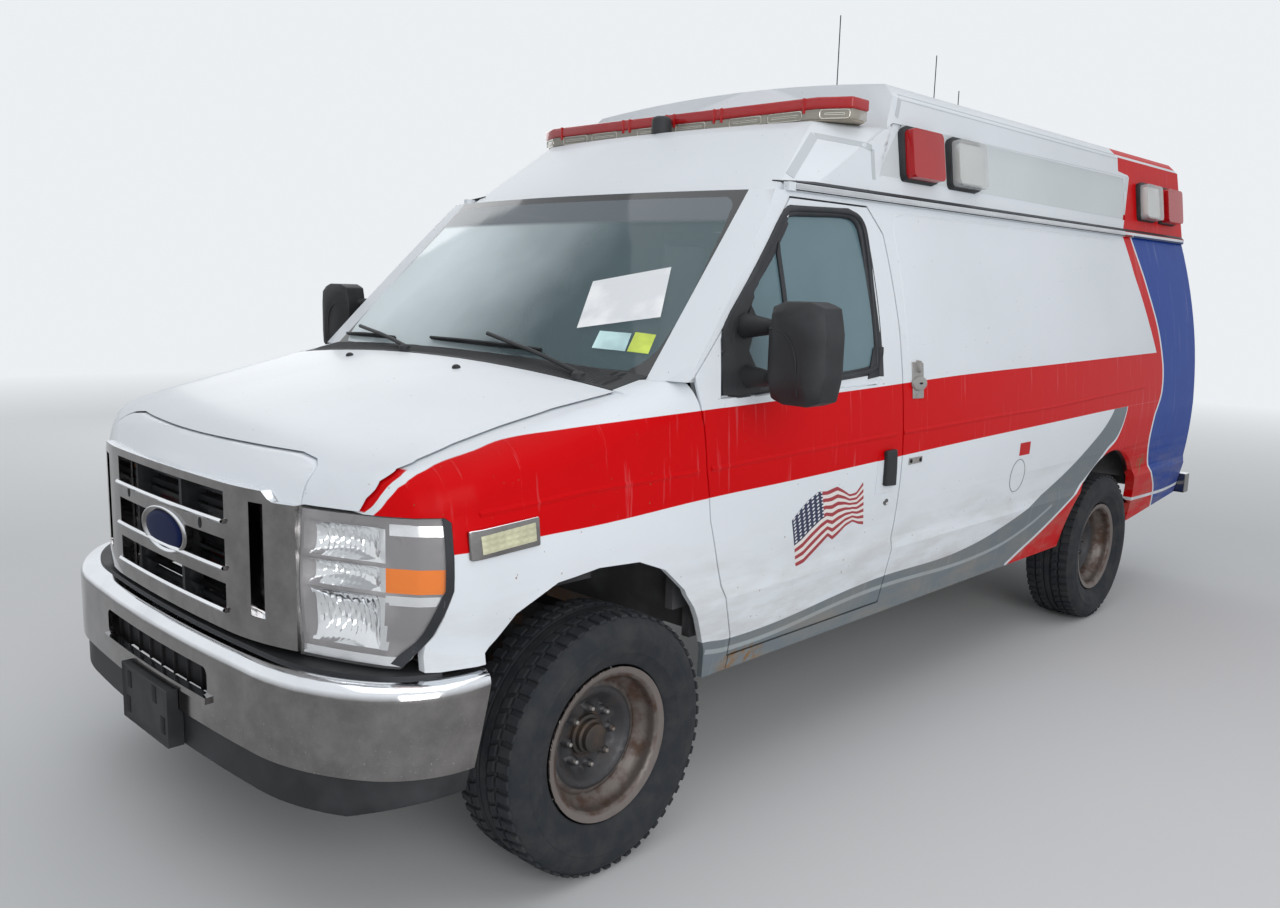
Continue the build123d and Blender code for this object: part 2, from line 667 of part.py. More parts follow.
# Light bar across the platform, its ends tapered in plan, with the radome and whips
with BuildPart() as lightbar:
    with BuildSketch(Plane.XY.offset(bar_z)):
        with BuildLine():
            Polyline((0, at(bar_front)), (bar_half - bar_taper_x, at(bar_front)),
                     (bar_half, at(bar_front + bar_taper_front)),
                     (bar_half, at(bar_front + bar_deep - bar_taper_rear)),
                     (bar_half - bar_taper_x, at(bar_front + bar_deep)), (0, at(bar_front + bar_deep)), close=True)
        make_face()
        mirror(about=Plane.YZ)
    extrude(amount=bar_high)
    for side in (1, -1):
        add(sided(side, bar_foot_x - 70, bar_foot_x + 70, (bar_front + 41, bar_front + bar_deep - 39),
                  (platform_z + fit, bar_z)))
with BuildPart() as roof_antenna:
    with Locations((0, at(radome_station), platform_z + fit)):
        Cylinder(radome_radius, radome_high, align=(Align.CENTER, Align.CENTER, Align.MIN))
    chamfer(roof_antenna.faces().sort_by(Axis.Z)[-1].edges(), 14)
with BuildPart() as whip_antennas:
    for station, high in ((2350, 455), (3240, 425), (3500, 285)):
        with Locations((0, at(station), hump_crown_z + fit)):
            Cylinder(whip_base_radius, whip_base_high, align=(Align.CENTER, Align.CENTER, Align.MIN))
            Cylinder(whip_radius, high, align=(Align.CENTER, Align.CENTER, Align.MIN))

# Floor, firewall, wheelhouses, engine bay sides and hinge pillars in one pan
firewall_rear = firewall_station + firewall_wall
pan_limit = side_section(wall + seam, -700, body_rear)
pad_limit = side_section(wall + fit, 300, 500)
hood_rest = nose_hull(hood_wall + fit)
hood_above = side_prism(hood_region, *across, fit)
with BuildPart() as floor_pan:
    add(block(across, (pan_front, bulkhead_station), (cab_floor_z - floor_wall, cab_floor_z)))
    add(block(across, (bulkhead_station - floor_wall, body_rear - wall - 8), (load_floor_z - floor_wall, load_floor_z)))
    add(block(across, (bulkhead_station - floor_wall, bulkhead_station), (cab_floor_z - floor_wall, load_floor_z)))
    add(side_prism([(pan_front, cab_floor_z - floor_wall), (pan_front + 60, cab_floor_z),
                    (firewall_station + 60, 900), (firewall_rear, 980), (firewall_rear, 1300),
                    (firewall_station, 1300), (firewall_station, 960), (firewall_station + 30, 870)],
                   -pillar_x, pillar_x))
    for side in (1, -1):
        add(sided(side, wheelhouse_x, half_width, (wheelbase - 470, wheelbase + 470),
                  (load_floor_z - floor_wall, wheelhouse_z + wheelhouse_wall)))
        add(sided(side, wheelhouse_x + wheelhouse_wall, half_width, (wheelbase - 445, wheelbase + 445),
                  (400, wheelhouse_z)), mode=Mode.SUBTRACT)
        add(sided(side, apron_inner_x, apron_outer_x, (-640, firewall_station), (tower_z + 10, 1060)))
        add(sided(side, pillar_x - pillar_wall, pillar_x, (pillar_foot_station, 560), (560, 900)))
        add(sided(side, pillar_x - pillar_wall, pillar_x, (firewall_station + 5, 560), (pillar_foot_z, 900)))
        add(sided(side, pillar_x - pillar_wall, pillar_x, (firewall_station + 5, 410), (pillar_foot_z, 1300)))
    add(block(across, (bulkhead_station + 5 - fit, bulkhead_station + 5 + bulkhead_wall + fit),
              (load_floor_z - bulkhead_channel, load_floor_z)), mode=Mode.SUBTRACT)
    add(pan_limit, mode=Mode.INTERSECT)
    for side in (1, -1):
        hood_stop = sided(side, apron_inner_x, apron_outer_x, (40, 85), (1050, 1500))
        add(hood_stop & hood_rest)
        add(hood_stop - hood_above)
        for z in (840, 1180):
            add(sided(side, pillar_x - 10, half_width, (358, 398), (z, z + 60)) & pad_limit)

bulkhead_range = (bulkhead_station + 5, bulkhead_station + 5 + bulkhead_wall)
with BuildPart() as bulkhead:
    add(side_section(wall + fit, *bulkhead_range))
    add(block(across, bulkhead_range, (300, load_floor_z - bulkhead_channel + fit)), mode=Mode.SUBTRACT)
    add(block((-300, 300), bulkhead_range, (load_floor_z + 60, 1860)), mode=Mode.SUBTRACT)

# Dashboard with the engine cover, and the steering wheel in front of the driver
dash_half = pillar_x - pillar_wall - fit
dash_front = firewall_rear + fit
with BuildPart() as dashboard:
    add(side_prism([(dash_front, 1000), (dash_front, 1330), (420, 1345), (600, 1300), (680, 1230), (660, 1050),
                    (560, 980)], -dash_half, dash_half))
    add(side_prism([(dash_front, 982), (dash_front, 1030), (1000, 960), (1080, cab_floor_z + fit),
                    (532, cab_floor_z + fit), (406, 902)], -250, 250))
    with Locations(Location((400, at(770), 1255), (-62, 0, 0))):
        Cylinder(210, 24)
        Cylinder(184, 30, mode=Mode.SUBTRACT)
        Cylinder(60, 24)
        Box(390, 34, 16)
        with Locations((0, 0, -90)):
            Cylinder(26, 200)

seat_side = [(900, cab_floor_z + fit), (1290, cab_floor_z + fit), (1290, 900), (1380, 1560), (1290, 1590),
             (1200, 1040), (880, 1050), (860, 930), (900, 900)]
seat_x, seat_half = 510, 230
with BuildPart() as cab_seats:
    add(side_prism(seat_side, seat_x - seat_half, seat_x + seat_half))
    chamfer(cab_seats.edges().filter_by(Axis.X), 16)
    mirror(about=Plane.YZ)

# Ladder frame, its front ends seated behind the bumper
bumper_bow = bumper_plan[1][1] - bumper_plan[0][1]
bumper_bend = (bumper_plan[1][0] ** 2 + bumper_bow ** 2) / (2 * bumper_bow)
rail_outer = rail_x + rail_width
rail_front = (bumper_plan[0][1] + bumper_bend - (bumper_bend ** 2 - rail_outer ** 2) ** 0.5 + bumper_sheet + fit)
rail_side = [(rail_front, 470), (rail_front, 570), (300, 570), (560, rail_top - 90), (rail_kick_front, rail_top - 90),
             (rail_arch_front, rail_top + 5), (rail_arch_rear, rail_top + 5), (rail_kick_rear, rail_top - 30),
             (rail_rear, rail_top - 30), (rail_rear, rail_bottom), (rail_kick_rear - 50, rail_bottom),
             (rail_arch_rear, rail_top - 80), (rail_arch_front, rail_top - 80), (rail_kick_front, rail_bottom - 60),
             (560, rail_bottom - 60), (300, 440), (-500, 440)]
cross_members = [(-560, 500), (420, 500), (1500, 500), (wheelbase - 905, 500), (wheelbase + 795, 570)]
with BuildPart() as frame_rails:
    for side in (1, -1):
        add(side_prism(rail_side, *sorted((side * rail_x, side * rail_outer))))
        for station in (leaf_front, leaf_rear):
            add(sided(side, rail_outer - 5, leaf_x - 40, (station, station + 50), (525, 640)))
            add(sided(side, rail_outer - 5, leaf_x + leaf_half, (station, station + 50), (590 + fit, 640)))
        add(sided(side, rail_outer - 5, 685, (-60, 60), (650, tower_z)))
        add(sided(side, rail_outer - 25, rail_outer, (-60, 60), (500, tower_z)))
        for station in (700, 1700, wheelbase - 1005, wheelbase + 895):
            floor_z = cab_floor_z if station < bulkhead_station else load_floor_z
            add(sided(side, rail_x + 10, rail_x + 70, (station - 35, station + 35), (540, floor_z - floor_wall - fit)))
    add(block((-rail_x - 5, rail_x + 5), (-110, 110), (470 + fit, 530)))
    for station, z in cross_members:
        add(block((-rail_x - 5, rail_x + 5), (station - 40, station + 40), (z - 30, z + 30)))
with BuildPart() as engine_block:
    add(block((-230, 230), (-520, 300), (600, 1060)))
    add(block((-130, 130), (-300, 1000), (535, 565)))
    add(block((-130, 130), (150, 340), (560, 700)))
    add(block((-70, 70), (560, 1000), (350, 540)))


# Wheels, tyres and what carries them
def turned(outline, x, station, z):
    # A solid of revolution about an X axis, from (x, radius) points
    with BuildPart(mode=Mode.PRIVATE) as body:
        with BuildSketch(Plane.XY):
            with BuildLine():
                Polyline(*outline, close=True)
            make_face()
        revolve(axis=Axis.X)
    return body.part.moved(Location((x, at(station), z)))


def wheel_outline(dish):
    # Rim flanges, bead seats and well outside, then the disc, the dish and the hub inside
    half = rim_width / 2
    return [(-half, rim_radius), (-half + flange, rim_radius), (-half + flange, bead_radius),
            (-half + 30, bead_radius - 5), (-half + 60, 176), (half - 60, 176), (half - 30, bead_radius - 5),
            (half - flange, bead_radius), (half - flange, rim_radius), (half, rim_radius), (half - 8, 193),
            (half - 42, 190), (half - 72, 166), (half - dish + 25, 166), (half - dish + 40, 135),
            (half - dish, 100), (half - dish, spindle_radius + 0.5), (-half + 20, spindle_radius + 0.5),
            (-half + 20, 150), (-half + 38, 150), (-half + 38, hub_radius), (half - dish - 12, hub_radius),
            (half - dish - 10, 105), (half - dish + 12, 165), (-half + 58, 166), (-half + 26, 190), (-half, 197)]


def tyre_outline():
    half, bead = tyre_width / 2, rim_width / 2 - flange - fit
    return [(-bead + 18, bead_radius - 3.6), (-bead, bead_radius + fit), (-bead, 226), (-half, 292),
            (-half + 6, 335), (-half + tyre_shoulder, 368), (0, tyre_radius), (half - tyre_shoulder, 368),
            (half - 6, 335), (half, 292), (bead, 226), (bead, bead_radius + fit), (bead - 18, bead_radius - 3.6),
            (bead - 20, 232), (-bead + 20, 232)]


def studded(rim, x, station, dish):
    # The wheel's stud nuts stand on its dish
    face_x = x + rim_width / 2 - dish
    with BuildPart(mode=Mode.PRIVATE) as wheel:
        add(rim)
        with BuildSketch(Plane.YZ.offset(face_x - 2)):
            with Locations((at(station), hub_z)):
                with PolarLocations(stud_circle_radius, stud_count):
                    RegularPolygon(13, 6)
        extrude(amount=24)
    return wheel.part


front_rim = studded(turned(wheel_outline(front_dish), front_wheel_x, 0, hub_z), front_wheel_x, 0, front_dish)
rear_rim = studded(turned(wheel_outline(rear_dish), rear_wheel_x, wheelbase, hub_z), rear_wheel_x, wheelbase,
                   rear_dish)
front_tyre = turned(tyre_outline(), front_wheel_x, 0, hub_z)
rear_tyre = turned(tyre_outline(), rear_wheel_x, wheelbase, hub_z)
with BuildPart() as wheel_front_left:
    add(front_rim)
with BuildPart() as wheel_front_right:
    mirror(front_rim, about=Plane.YZ)
with BuildPart() as wheel_rear_left:
    add(rear_rim)
with BuildPart() as wheel_rear_right:
    mirror(rear_rim, about=Plane.YZ)
with BuildPart() as tyre_front_left:
    add(front_tyre)
with BuildPart() as tyre_front_right:
    mirror(front_tyre, about=Plane.YZ)
with BuildPart() as tyre_rear_left:
    add(rear_tyre)
with BuildPart() as tyre_rear_right:
    mirror(rear_tyre, about=Plane.YZ)

spindle_end = front_wheel_x + rim_width / 2 - front_dish
with BuildPart() as knuckle_left:
    with Locations((kingpin_x, at(0), (yoke_low + yoke_high) / 2)):
        Cylinder(32, yoke_high - yoke_low - 2 * fit)
    with Locations(Location((kingpin_x, at(0), hub_z), (0, 90, 0))):
        Cylinder(spindle_radius, spindle_end - kingpin_x, align=(Align.CENTER, Align.CENTER, Align.MIN))
        with Locations((0, 0, 34)):
            Cylinder(55, 10)
with BuildPart() as knuckle_right:
    mirror(knuckle_left.part, about=Plane.YZ)

# Twin front beams, each from its pivot across to the other side's knuckle, and the coil springs
spring_foot, spring_head = 442 + fit, 650 - fit
with BuildPart() as front_beams:
    for side, station in ((1, -62), (-1, 62)):
        add(front_prism([(side * 690, 440), (side * 690, 320), (side * 560, 300), (-side * 300, 390),
                         (-side * 340, 400), (-side * 340, 470), (side * 540, 370), (side * 560, 440)],
                        station - 32, station + 32))
        add(sided(side, 655, 690, (-90, 90), (300, 440)))
        add(sided(side, 655, 690, (-45, 45), (235, 515)))
        add(sided(side, 655, kingpin_x + 28, (-34, 34), (yoke_high, 515)))
        add(sided(side, 655, kingpin_x + 28, (-34, 34), (235, yoke_low)))
        add(sided(side, spring_x - 62, spring_x + 66, (-60, 60), (425, 442)))
with BuildPart() as front_springs:
    for side in (1, -1):
        with Locations((side * spring_x, at(0), spring_foot)):
            Cylinder(spring_radius, spring_head - spring_foot, align=(Align.CENTER, Align.CENTER, Align.MIN))
            Cylinder(spring_radius - spring_wall, spring_head - spring_foot,
                     align=(Align.CENTER, Align.CENTER, Align.MIN), mode=Mode.SUBTRACT)

# Rear axle with its leaf springs, and the shaft that drives it
tube_end = rear_wheel_x - rim_width / 2 + 10
hub_end = rear_wheel_x + rim_width / 2 - rear_dish
axle_half = [(150, axle_tube_radius), (tube_end, axle_tube_radius), (tube_end, spindle_radius),
             (hub_end, spindle_radius), (hub_end, 0)]
axle_outline = [(-x, r) for x, r in reversed(axle_half)] + [(-95, 110), (-40, 150), (40, 150), (95, 110)] + axle_half
leaf_outline = [(leaf_front, 560), (leaf_front + 50, 560), (wheelbase - 305, 455), (wheelbase, 425),
                (wheelbase + 305, 455), (leaf_rear, 560), (leaf_rear + 50, 560), (leaf_rear + 50, 590),
                (leaf_rear, 590), (wheelbase + 305, 490), (wheelbase, 462), (wheelbase - 305, 490),
                (leaf_front + 50, 590), (leaf_front, 590)]
with BuildPart() as rear_axle:
    add(turned(axle_outline, 0, wheelbase, hub_z))
    add(block((-55, 55), (pinion_station, wheelbase), (345, 455)))
    for x in (-leaf_x, leaf_x):
        add(side_prism(leaf_outline, x - leaf_half, x + leaf_half))
        add(block((x - 45, x + 45), (wheelbase - 60, wheelbase + 60), (380, 430)))
with BuildPart() as driveshaft:
    with BuildSketch(Plane.XZ.offset(-at(pinion_station - fit))):
        with Locations((0, 400)):
            Circle(38)
    extrude(amount=pinion_station - 1000 - 2 * fit)

# Mirrors on the front doors: a head on two arms, from a patch over the door's front corner
patch_outer, patch_inner = side_section(-12, 300, 700), side_section(-fit, 300, 700)
patch = shell_piece(patch_outer, patch_inner,
                    side_prism([(392, 1296), (600, 1296), (600, 1560), (512, 1560)], 700, 1100))
with BuildPart() as mirror_left:
    with Locations((1220, at(442.5), 1445)):
        Box(200, 95, 310)
    fillet(mirror_left.edges().filter_by(Axis.Z), 34)
    chamfer(mirror_left.faces().filter_by(Axis.Z).edges(), 14)
    for z in (1345, 1512):
        add(block((940, 1130), (535, 562), (z, z + 28)))
        add(block((1090, 1130), (440, 562), (z, z + 28)))
    add(patch_outer, mode=Mode.SUBTRACT)
    add(patch)
with BuildPart() as mirror_right:
    mirror(mirror_left.part, about=Plane.YZ)

# Rear bumper step, tail lamps, tank and exhaust
with BuildPart() as rear_bumper:
    add(block((-1000, 1000), (body_rear + 8, rear_end), (520, 632)))
    with Locations((0, at(rear_end - 36), 632)):
        Hole(ball_hole_radius, depth=112)
    for side in (1, -1):
        add(sided(side, rail_x + 10, rail_x + 70, (rail_rear + fit, body_rear + 20), (540, 610)))
with BuildPart() as tail_lamps:
    for side in (1, -1):
        add(sided(side, 815, 925, (body_rear + fit, body_rear + 22), (960, 1330)))
with BuildPart() as fuel_tank:
    add(block((fit - rail_x, rail_x - fit), (wheelbase + 475, wheelbase + 725), (430, 640)))
with BuildPart() as exhaust:
    with BuildSketch(Plane.XZ.offset(-at(rail_kick_front))):
        with Locations((-(rail_outer + pipe_radius + fit), 500)):
            Circle(pipe_radius)
    extrude(amount=rail_kick_front - 700)
    with BuildSketch(Plane.XZ.offset(-at(2250))):
        with Locations((-(rail_outer + 95), 480)):
            Ellipse(90, 60)
    extrude(amount=550)

# One file for each piece
pieces = {
    "side_panel_left": side_panel_left, "side_panel_right": side_panel_right,
    "front_door_left": front_door_left, "front_door_right": front_door_right,
    "front_door_glass_left": front_door_glass_left, "front_door_glass_right": front_door_glass_right,
    "side_door_front": side_door_front, "side_door_rear": side_door_rear,
    "side_door_glass_front": side_door_glass_front, "side_door_glass_rear": side_door_glass_rear,
    "rear_door_left": rear_door_left, "rear_door_right": rear_door_right,
    "rear_door_glass_left": rear_door_glass_left, "rear_door_glass_right": rear_door_glass_right,
    "windshield": windshield, "hood": hood, "front_fenders": front_fenders, "headlamps": headlamps,
    "fender_lamps": fender_lamps, "cowl_grille": cowl_grille, "grille": grille, "grille_louvres": grille_louvres,
    "front_bumper": front_bumper, "bumper_valance": bumper_valance, "raised_roof": raised_roof,
    "warning_lamps_red": warning_lamps_red, "warning_lamps_clear": warning_lamps_clear, "lightbar": lightbar,
    "roof_antenna": roof_antenna, "whip_antennas": whip_antennas, "floor_pan": floor_pan, "bulkhead": bulkhead,
    "dashboard": dashboard, "cab_seats": cab_seats, "frame_rails": frame_rails, "engine_block": engine_block,
    "wheel_front_left": wheel_front_left, "wheel_front_right": wheel_front_right,
    "wheel_rear_left": wheel_rear_left, "wheel_rear_right": wheel_rear_right,
    "tyre_front_left": tyre_front_left, "tyre_front_right": tyre_front_right,
    "tyre_rear_left": tyre_rear_left, "tyre_rear_right": tyre_rear_right,
    "knuckle_left": knuckle_left, "knuckle_right": knuckle_right,
    "front_beams": front_beams, "front_springs": front_springs, "rear_axle": rear_axle, "driveshaft": driveshaft,
    "mirror_left": mirror_left, "mirror_right": mirror_right, "rear_bumper": rear_bumper,
    "tail_lamps": tail_lamps, "fuel_tank": fuel_tank, "exhaust": exhaust,
}
for name, piece in pieces.items():
    piece.part.label = name
    export_step(piece.part, f"parts/{name}.step")
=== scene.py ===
import json
import math

import bpy
from mathutils import Matrix, Vector
from mathutils.bvhtree import BVHTree


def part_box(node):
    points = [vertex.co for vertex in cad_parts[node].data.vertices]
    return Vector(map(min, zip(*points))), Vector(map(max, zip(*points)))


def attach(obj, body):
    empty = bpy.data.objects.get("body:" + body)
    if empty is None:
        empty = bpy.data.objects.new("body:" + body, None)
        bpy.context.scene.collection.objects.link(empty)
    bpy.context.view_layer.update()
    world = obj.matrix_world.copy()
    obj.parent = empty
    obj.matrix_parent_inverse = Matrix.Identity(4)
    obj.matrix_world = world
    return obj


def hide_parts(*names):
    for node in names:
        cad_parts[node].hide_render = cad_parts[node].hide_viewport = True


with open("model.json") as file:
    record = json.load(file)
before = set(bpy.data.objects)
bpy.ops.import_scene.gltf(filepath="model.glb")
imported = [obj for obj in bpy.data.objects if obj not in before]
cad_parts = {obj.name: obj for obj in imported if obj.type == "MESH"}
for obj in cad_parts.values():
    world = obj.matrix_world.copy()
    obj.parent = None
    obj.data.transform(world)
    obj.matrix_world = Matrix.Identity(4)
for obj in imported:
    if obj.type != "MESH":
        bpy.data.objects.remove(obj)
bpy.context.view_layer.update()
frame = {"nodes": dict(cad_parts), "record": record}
bodyOf = {node: name for name, nodes in frame["record"]["behaviour"]["bodies"].items() for node in nodes}

frontAxle = 1.92  # the model's Y runs from the middle of the van; stations run from the front axle
weld = 0.00002  # vertices of a CAD mesh closer than this are one
fullTurn = 2 * math.pi
print("frame loaded", len(frame["nodes"]), "nodes")


# Small helpers for picking, shaping and joining

def pick(*objs):
    bpy.ops.object.select_all(action='DESELECT')
    for obj in objs:
        obj.select_set(True)
    bpy.context.view_layer.objects.active = objs[0]


def done():
    bpy.ops.object.mode_set(mode='OBJECT')


def editAll(obj):
    pick(obj)
    bpy.ops.object.mode_set(mode='EDIT')
    bpy.ops.mesh.select_all(action='SELECT')


def editSome(obj, kind, chosen):
    # edit mode with only the chosen edges or faces picked
    pick(obj)
    bpy.ops.object.mode_set(mode='EDIT')
    bpy.ops.mesh.select_mode(type=kind)
    bpy.ops.mesh.select_all(action='DESELECT')
    done()
    for item in obj.data.polygons if kind == 'FACE' else obj.data.edges:
        item.select = chosen(item)
    bpy.ops.object.mode_set(mode='EDIT')


def merged(obj):
    editAll(obj)
    bpy.ops.mesh.remove_doubles(threshold=weld)
    done()
    return obj


def named(obj, name):
    obj.name = name
    obj.data.name = name
    return obj


def added(name, data):
    obj = bpy.data.objects.new(name, data)
    bpy.context.collection.objects.link(obj)
    return obj


def primitive(add, **options):
    bpy.ops.object.select_all(action='DESELECT')
    add(**options)
    return bpy.context.object


def modified(obj, kind, **options):
    step = obj.modifiers.new(kind, kind)
    for key, value in options.items():
        setattr(step, key, value)
    pick(obj)
    bpy.ops.object.modifier_apply(modifier=step.name)
    return obj


def rounded(obj, width, segments=2, angle=35.0):
    return modified(obj, 'BEVEL', width=width, segments=segments, limit_method='ANGLE',
                    angle_limit=math.radians(angle), harden_normals=False)


def smooth(obj, angle=35.0):
    pick(obj)
    bpy.ops.object.shade_smooth_by_angle(angle=math.radians(angle), keep_sharp_edges=False)
    return obj


def joined(objs, name):
    pick(*objs)
    if len(objs) > 1:
        bpy.ops.object.join()
    return named(bpy.context.view_layer.objects.active, name)


def copyOf(obj, move=(0, 0, 0), turn=Matrix()):
    twin = added(obj.name, obj.data.copy())
    twin.data.transform(Matrix.Translation(Vector(move)) @ turn)
    return twin


def mirrored(obj, name):
    twin = copyOf(obj)
    twin.data.transform(Matrix.Scale(-1, 4, (1, 0, 0)))
    twin.data.flip_normals()
    return named(twin, name)


def block(name, low, high, bevel=0.0, segments=2):
    middle = [(a + b) / 2 for a, b in zip(low, high)]
    obj = primitive(bpy.ops.mesh.primitive_cube_add, size=1, location=middle)
    obj.scale = [b - a for a, b in zip(low, high)]
    pick(obj)
    bpy.ops.object.transform_apply(location=True, rotation=True, scale=True)
    if bevel:
        smooth(rounded(obj, bevel, segments))
    return named(obj, name)


def outlined(name, points, fill='NGON'):
    obj = primitive(bpy.ops.mesh.primitive_circle_add, vertices=len(points), fill_type=fill,
                    location=(0, 0, 0))
    for vertex, point in zip(obj.data.vertices, points):
        vertex.co = point
    return named(obj, name)


def plate(name, points, depth, bevel, segments=2):
    obj = outlined(name, points)
    editAll(obj)
    bpy.ops.mesh.extrude_region_move(TRANSFORM_OT_translate={"value": depth})
    bpy.ops.mesh.select_all(action='SELECT')
    bpy.ops.mesh.normals_make_consistent(inside=False)
    done()
    return smooth(rounded(obj, bevel, segments))


def lathe(name, outline, axis='X', place=(0, 0, 0), steps=32, angle=40.0):
    # outline: (along the axis, radius) pairs from one end to the other
    points = [(along, radius, 0) if axis == 'X' else (radius, 0, along) for along, radius in outline]
    obj = outlined(name, points, 'NOTHING')
    if outline[0][1] > 0 and outline[-1][1] > 0:
        editAll(obj)
    else:
        last = {0, len(outline) - 1}
        editSome(obj, 'EDGE', lambda edge: set(edge.vertices) == last)
        bpy.ops.mesh.delete(type='EDGE')
        bpy.ops.mesh.select_all(action='SELECT')
    direction = (1, 0, 0) if axis == 'X' else (0, 0, 1)
    bpy.ops.mesh.spin(steps=steps, angle=fullTurn, center=(0, 0, 0), axis=direction)
    bpy.ops.mesh.select_all(action='SELECT')
    bpy.ops.mesh.remove_doubles(threshold=weld / 2)
    bpy.ops.mesh.normals_make_consistent(inside=False)
    done()
    obj.data.transform(Matrix.Translation(Vector(place)))
    return named(smooth(obj, angle), name)


def tube(name, points, radius, sides=8, closed=False, curved=False):
    line = bpy.data.curves.new(name, 'CURVE')
    line.dimensions = '3D'
    line.bevel_depth = radius
    line.bevel_resolution = max(1, sides // 4)
    line.use_fill_caps = True
    spline = line.splines.new('NURBS' if curved else 'POLY')
    spline.points.add(len(points) - 1)
    for spot, point in zip(spline.points, points):
        spot.co = (*point, 1)
    spline.use_cyclic_u = closed
    if curved:
        spline.order_u = 3
        spline.use_endpoint_u = not closed
        line.resolution_u = 6
    pick(added(name, line))
    bpy.ops.object.convert(target='MESH')
    return named(smooth(bpy.context.object, 50), name)


def circle(radius, steps=40, squash=1.0):
    turns = [fullTurn * k / steps for k in range(steps)]
    return [(radius * math.cos(turn), squash * radius * math.sin(turn)) for turn in turns]


def finishPiece(obj, material, body="root", replaces=()):
    obj.data.materials.clear()
    obj.data.materials.append(material)
    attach(obj, body)
    if replaces:
        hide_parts(*replaces)
    return obj


def nodeCopy(node, name):
    return added(name, frame["nodes"][node].data.copy())


def dressed(node, material, bevel=0.0, shape=None):
    # a merged, smoothed copy of a CAD node that stands for it
    obj = merged(nodeCopy(node, node + ".dressed"))
    if shape:
        shape(obj)
    if bevel:
        rounded(obj, bevel, 2, 40.0)
    modified(smooth(obj, 30.0), 'WEIGHTED_NORMAL', keep_sharp=True, weight=80)
    return finishPiece(obj, material, bodyOf[node], (node,))


# Node helpers: they work on the node tree of the material in hand

inHand = {}
socketNames = {"colour": "Base Color", "roughness": "Roughness", "metallic": "Metallic", "alpha": "Alpha",
               "specular": "Specular IOR Level", "ior": "IOR",
               "coat": "Coat Weight", "coatRoughness": "Coat Roughness"}


def newMaterial(name):
    material = bpy.data.materials.new(name)
    material.use_nodes = True
    inHand["tree"] = material.node_tree
    return material, material.node_tree.nodes["Principled BSDF"]


def newNode(kind):
    return inHand["tree"].nodes.new("ShaderNode" + kind)


def link(source, target):
    if hasattr(source, "links"):
        inHand["tree"].links.new(source, target)
    else:
        target.default_value = source


def feed(shader, **values):
    for key, value in values.items():
        link(value, shader.inputs[socketNames[key]])


def calc(operation, *values, clamp=False):
    step = newNode("Math")
    step.operation = operation
    step.use_clamp = clamp
    for socket, value in zip(step.inputs, values):
        link(value, socket)
    return step.outputs[0]


def gap(first, second):
    return calc('ABSOLUTE', calc('SUBTRACT', first, second))


def mix(amount, low, high):
    blend = newNode("Mix")
    blend.data_type = 'RGBA'
    link(amount, blend.inputs[0])
    for colour, socket in ((low, blend.inputs[6]), (high, blend.inputs[7])):
        link((*colour, 1.0) if isinstance(colour, tuple) else colour, socket)
    return blend.outputs[2]


def tinted(colour, factor, lift=0.0):
    return tuple(min(1.0, factor * part + lift) for part in colour)


def place(kind="Object"):
    # the coordinates as one socket and as three
    coordinates = newNode("TexCoord").outputs[kind]
    split = newNode("SeparateXYZ")
    link(coordinates, split.inputs[0])
    return coordinates, split.outputs


def noise(vector, scale, detail=3.0, roughness=0.5, stretch=None):
    if stretch:
        mapping = newNode("Mapping")
        mapping.inputs["Scale"].default_value = stretch
        link(vector, mapping.inputs["Vector"])
        vector = mapping.outputs[0]
    texture = newNode("TexNoise")
    for key, value in {"Vector": vector, "Scale": scale, "Detail": detail, "Roughness": roughness}.items():
        link(value, texture.inputs[key])
    return texture.outputs["Fac"]


def spread(value, low, high, toLow=0.0, toHigh=1.0):
    ranger = newNode("MapRange")
    for socket, number in zip(ranger.inputs, (value, low, high, toLow, toHigh)):
        link(number, socket)
    return ranger.outputs[0]


def bump(shader, height, strength=0.3, distance=0.001):
    node = newNode("Bump")
    for key, value in {"Strength": strength, "Distance": distance, "Height": height}.items():
        link(value, node.inputs[key])
    link(node.outputs[0], shader.inputs["Normal"])


def curve(value, points, rounding=True, tall=2.6):
    # a value read from a drawn line of (place, value) points, none of them above tall
    low, high = points[0][0], points[-1][0]
    drawn = newNode("FloatCurve")
    line = drawn.mapping.curves[0]
    places = [((s - low) / (high - low), z / tall) for s, z in points]
    line.points[0].location = places[0]
    line.points[1].location = places[-1]
    for spot in places[1:-1]:
        line.points.new(*spot)
    for point in line.points:
        point.handle_type = 'AUTO' if rounding else 'VECTOR'
    drawn.mapping.update()
    link(spread(value, low, high), drawn.inputs["Value"])
    return calc('MULTIPLY', drawn.outputs[0], tall)


# Masks from 0 to 1: an edge is soft over so many metres

def below(value, edge, soft=0.0016):
    return calc('MULTIPLY_ADD', calc('SUBTRACT', edge, value), 1 / soft, 0.5, clamp=True)


def above(value, edge, soft=0.0016):
    return calc('MULTIPLY_ADD', calc('SUBTRACT', value, edge), 1 / soft, 0.5, clamp=True)


def chained(operation, masks):
    result = masks[0]
    for mask in masks[1:]:
        result = calc(operation, result, mask)
    return result


def both(*masks):
    return chained('MULTIPLY', masks)


def either(*masks):
    return chained('MAXIMUM', masks)


# Body paint and livery. Points are (station, height) in metres on the van's side

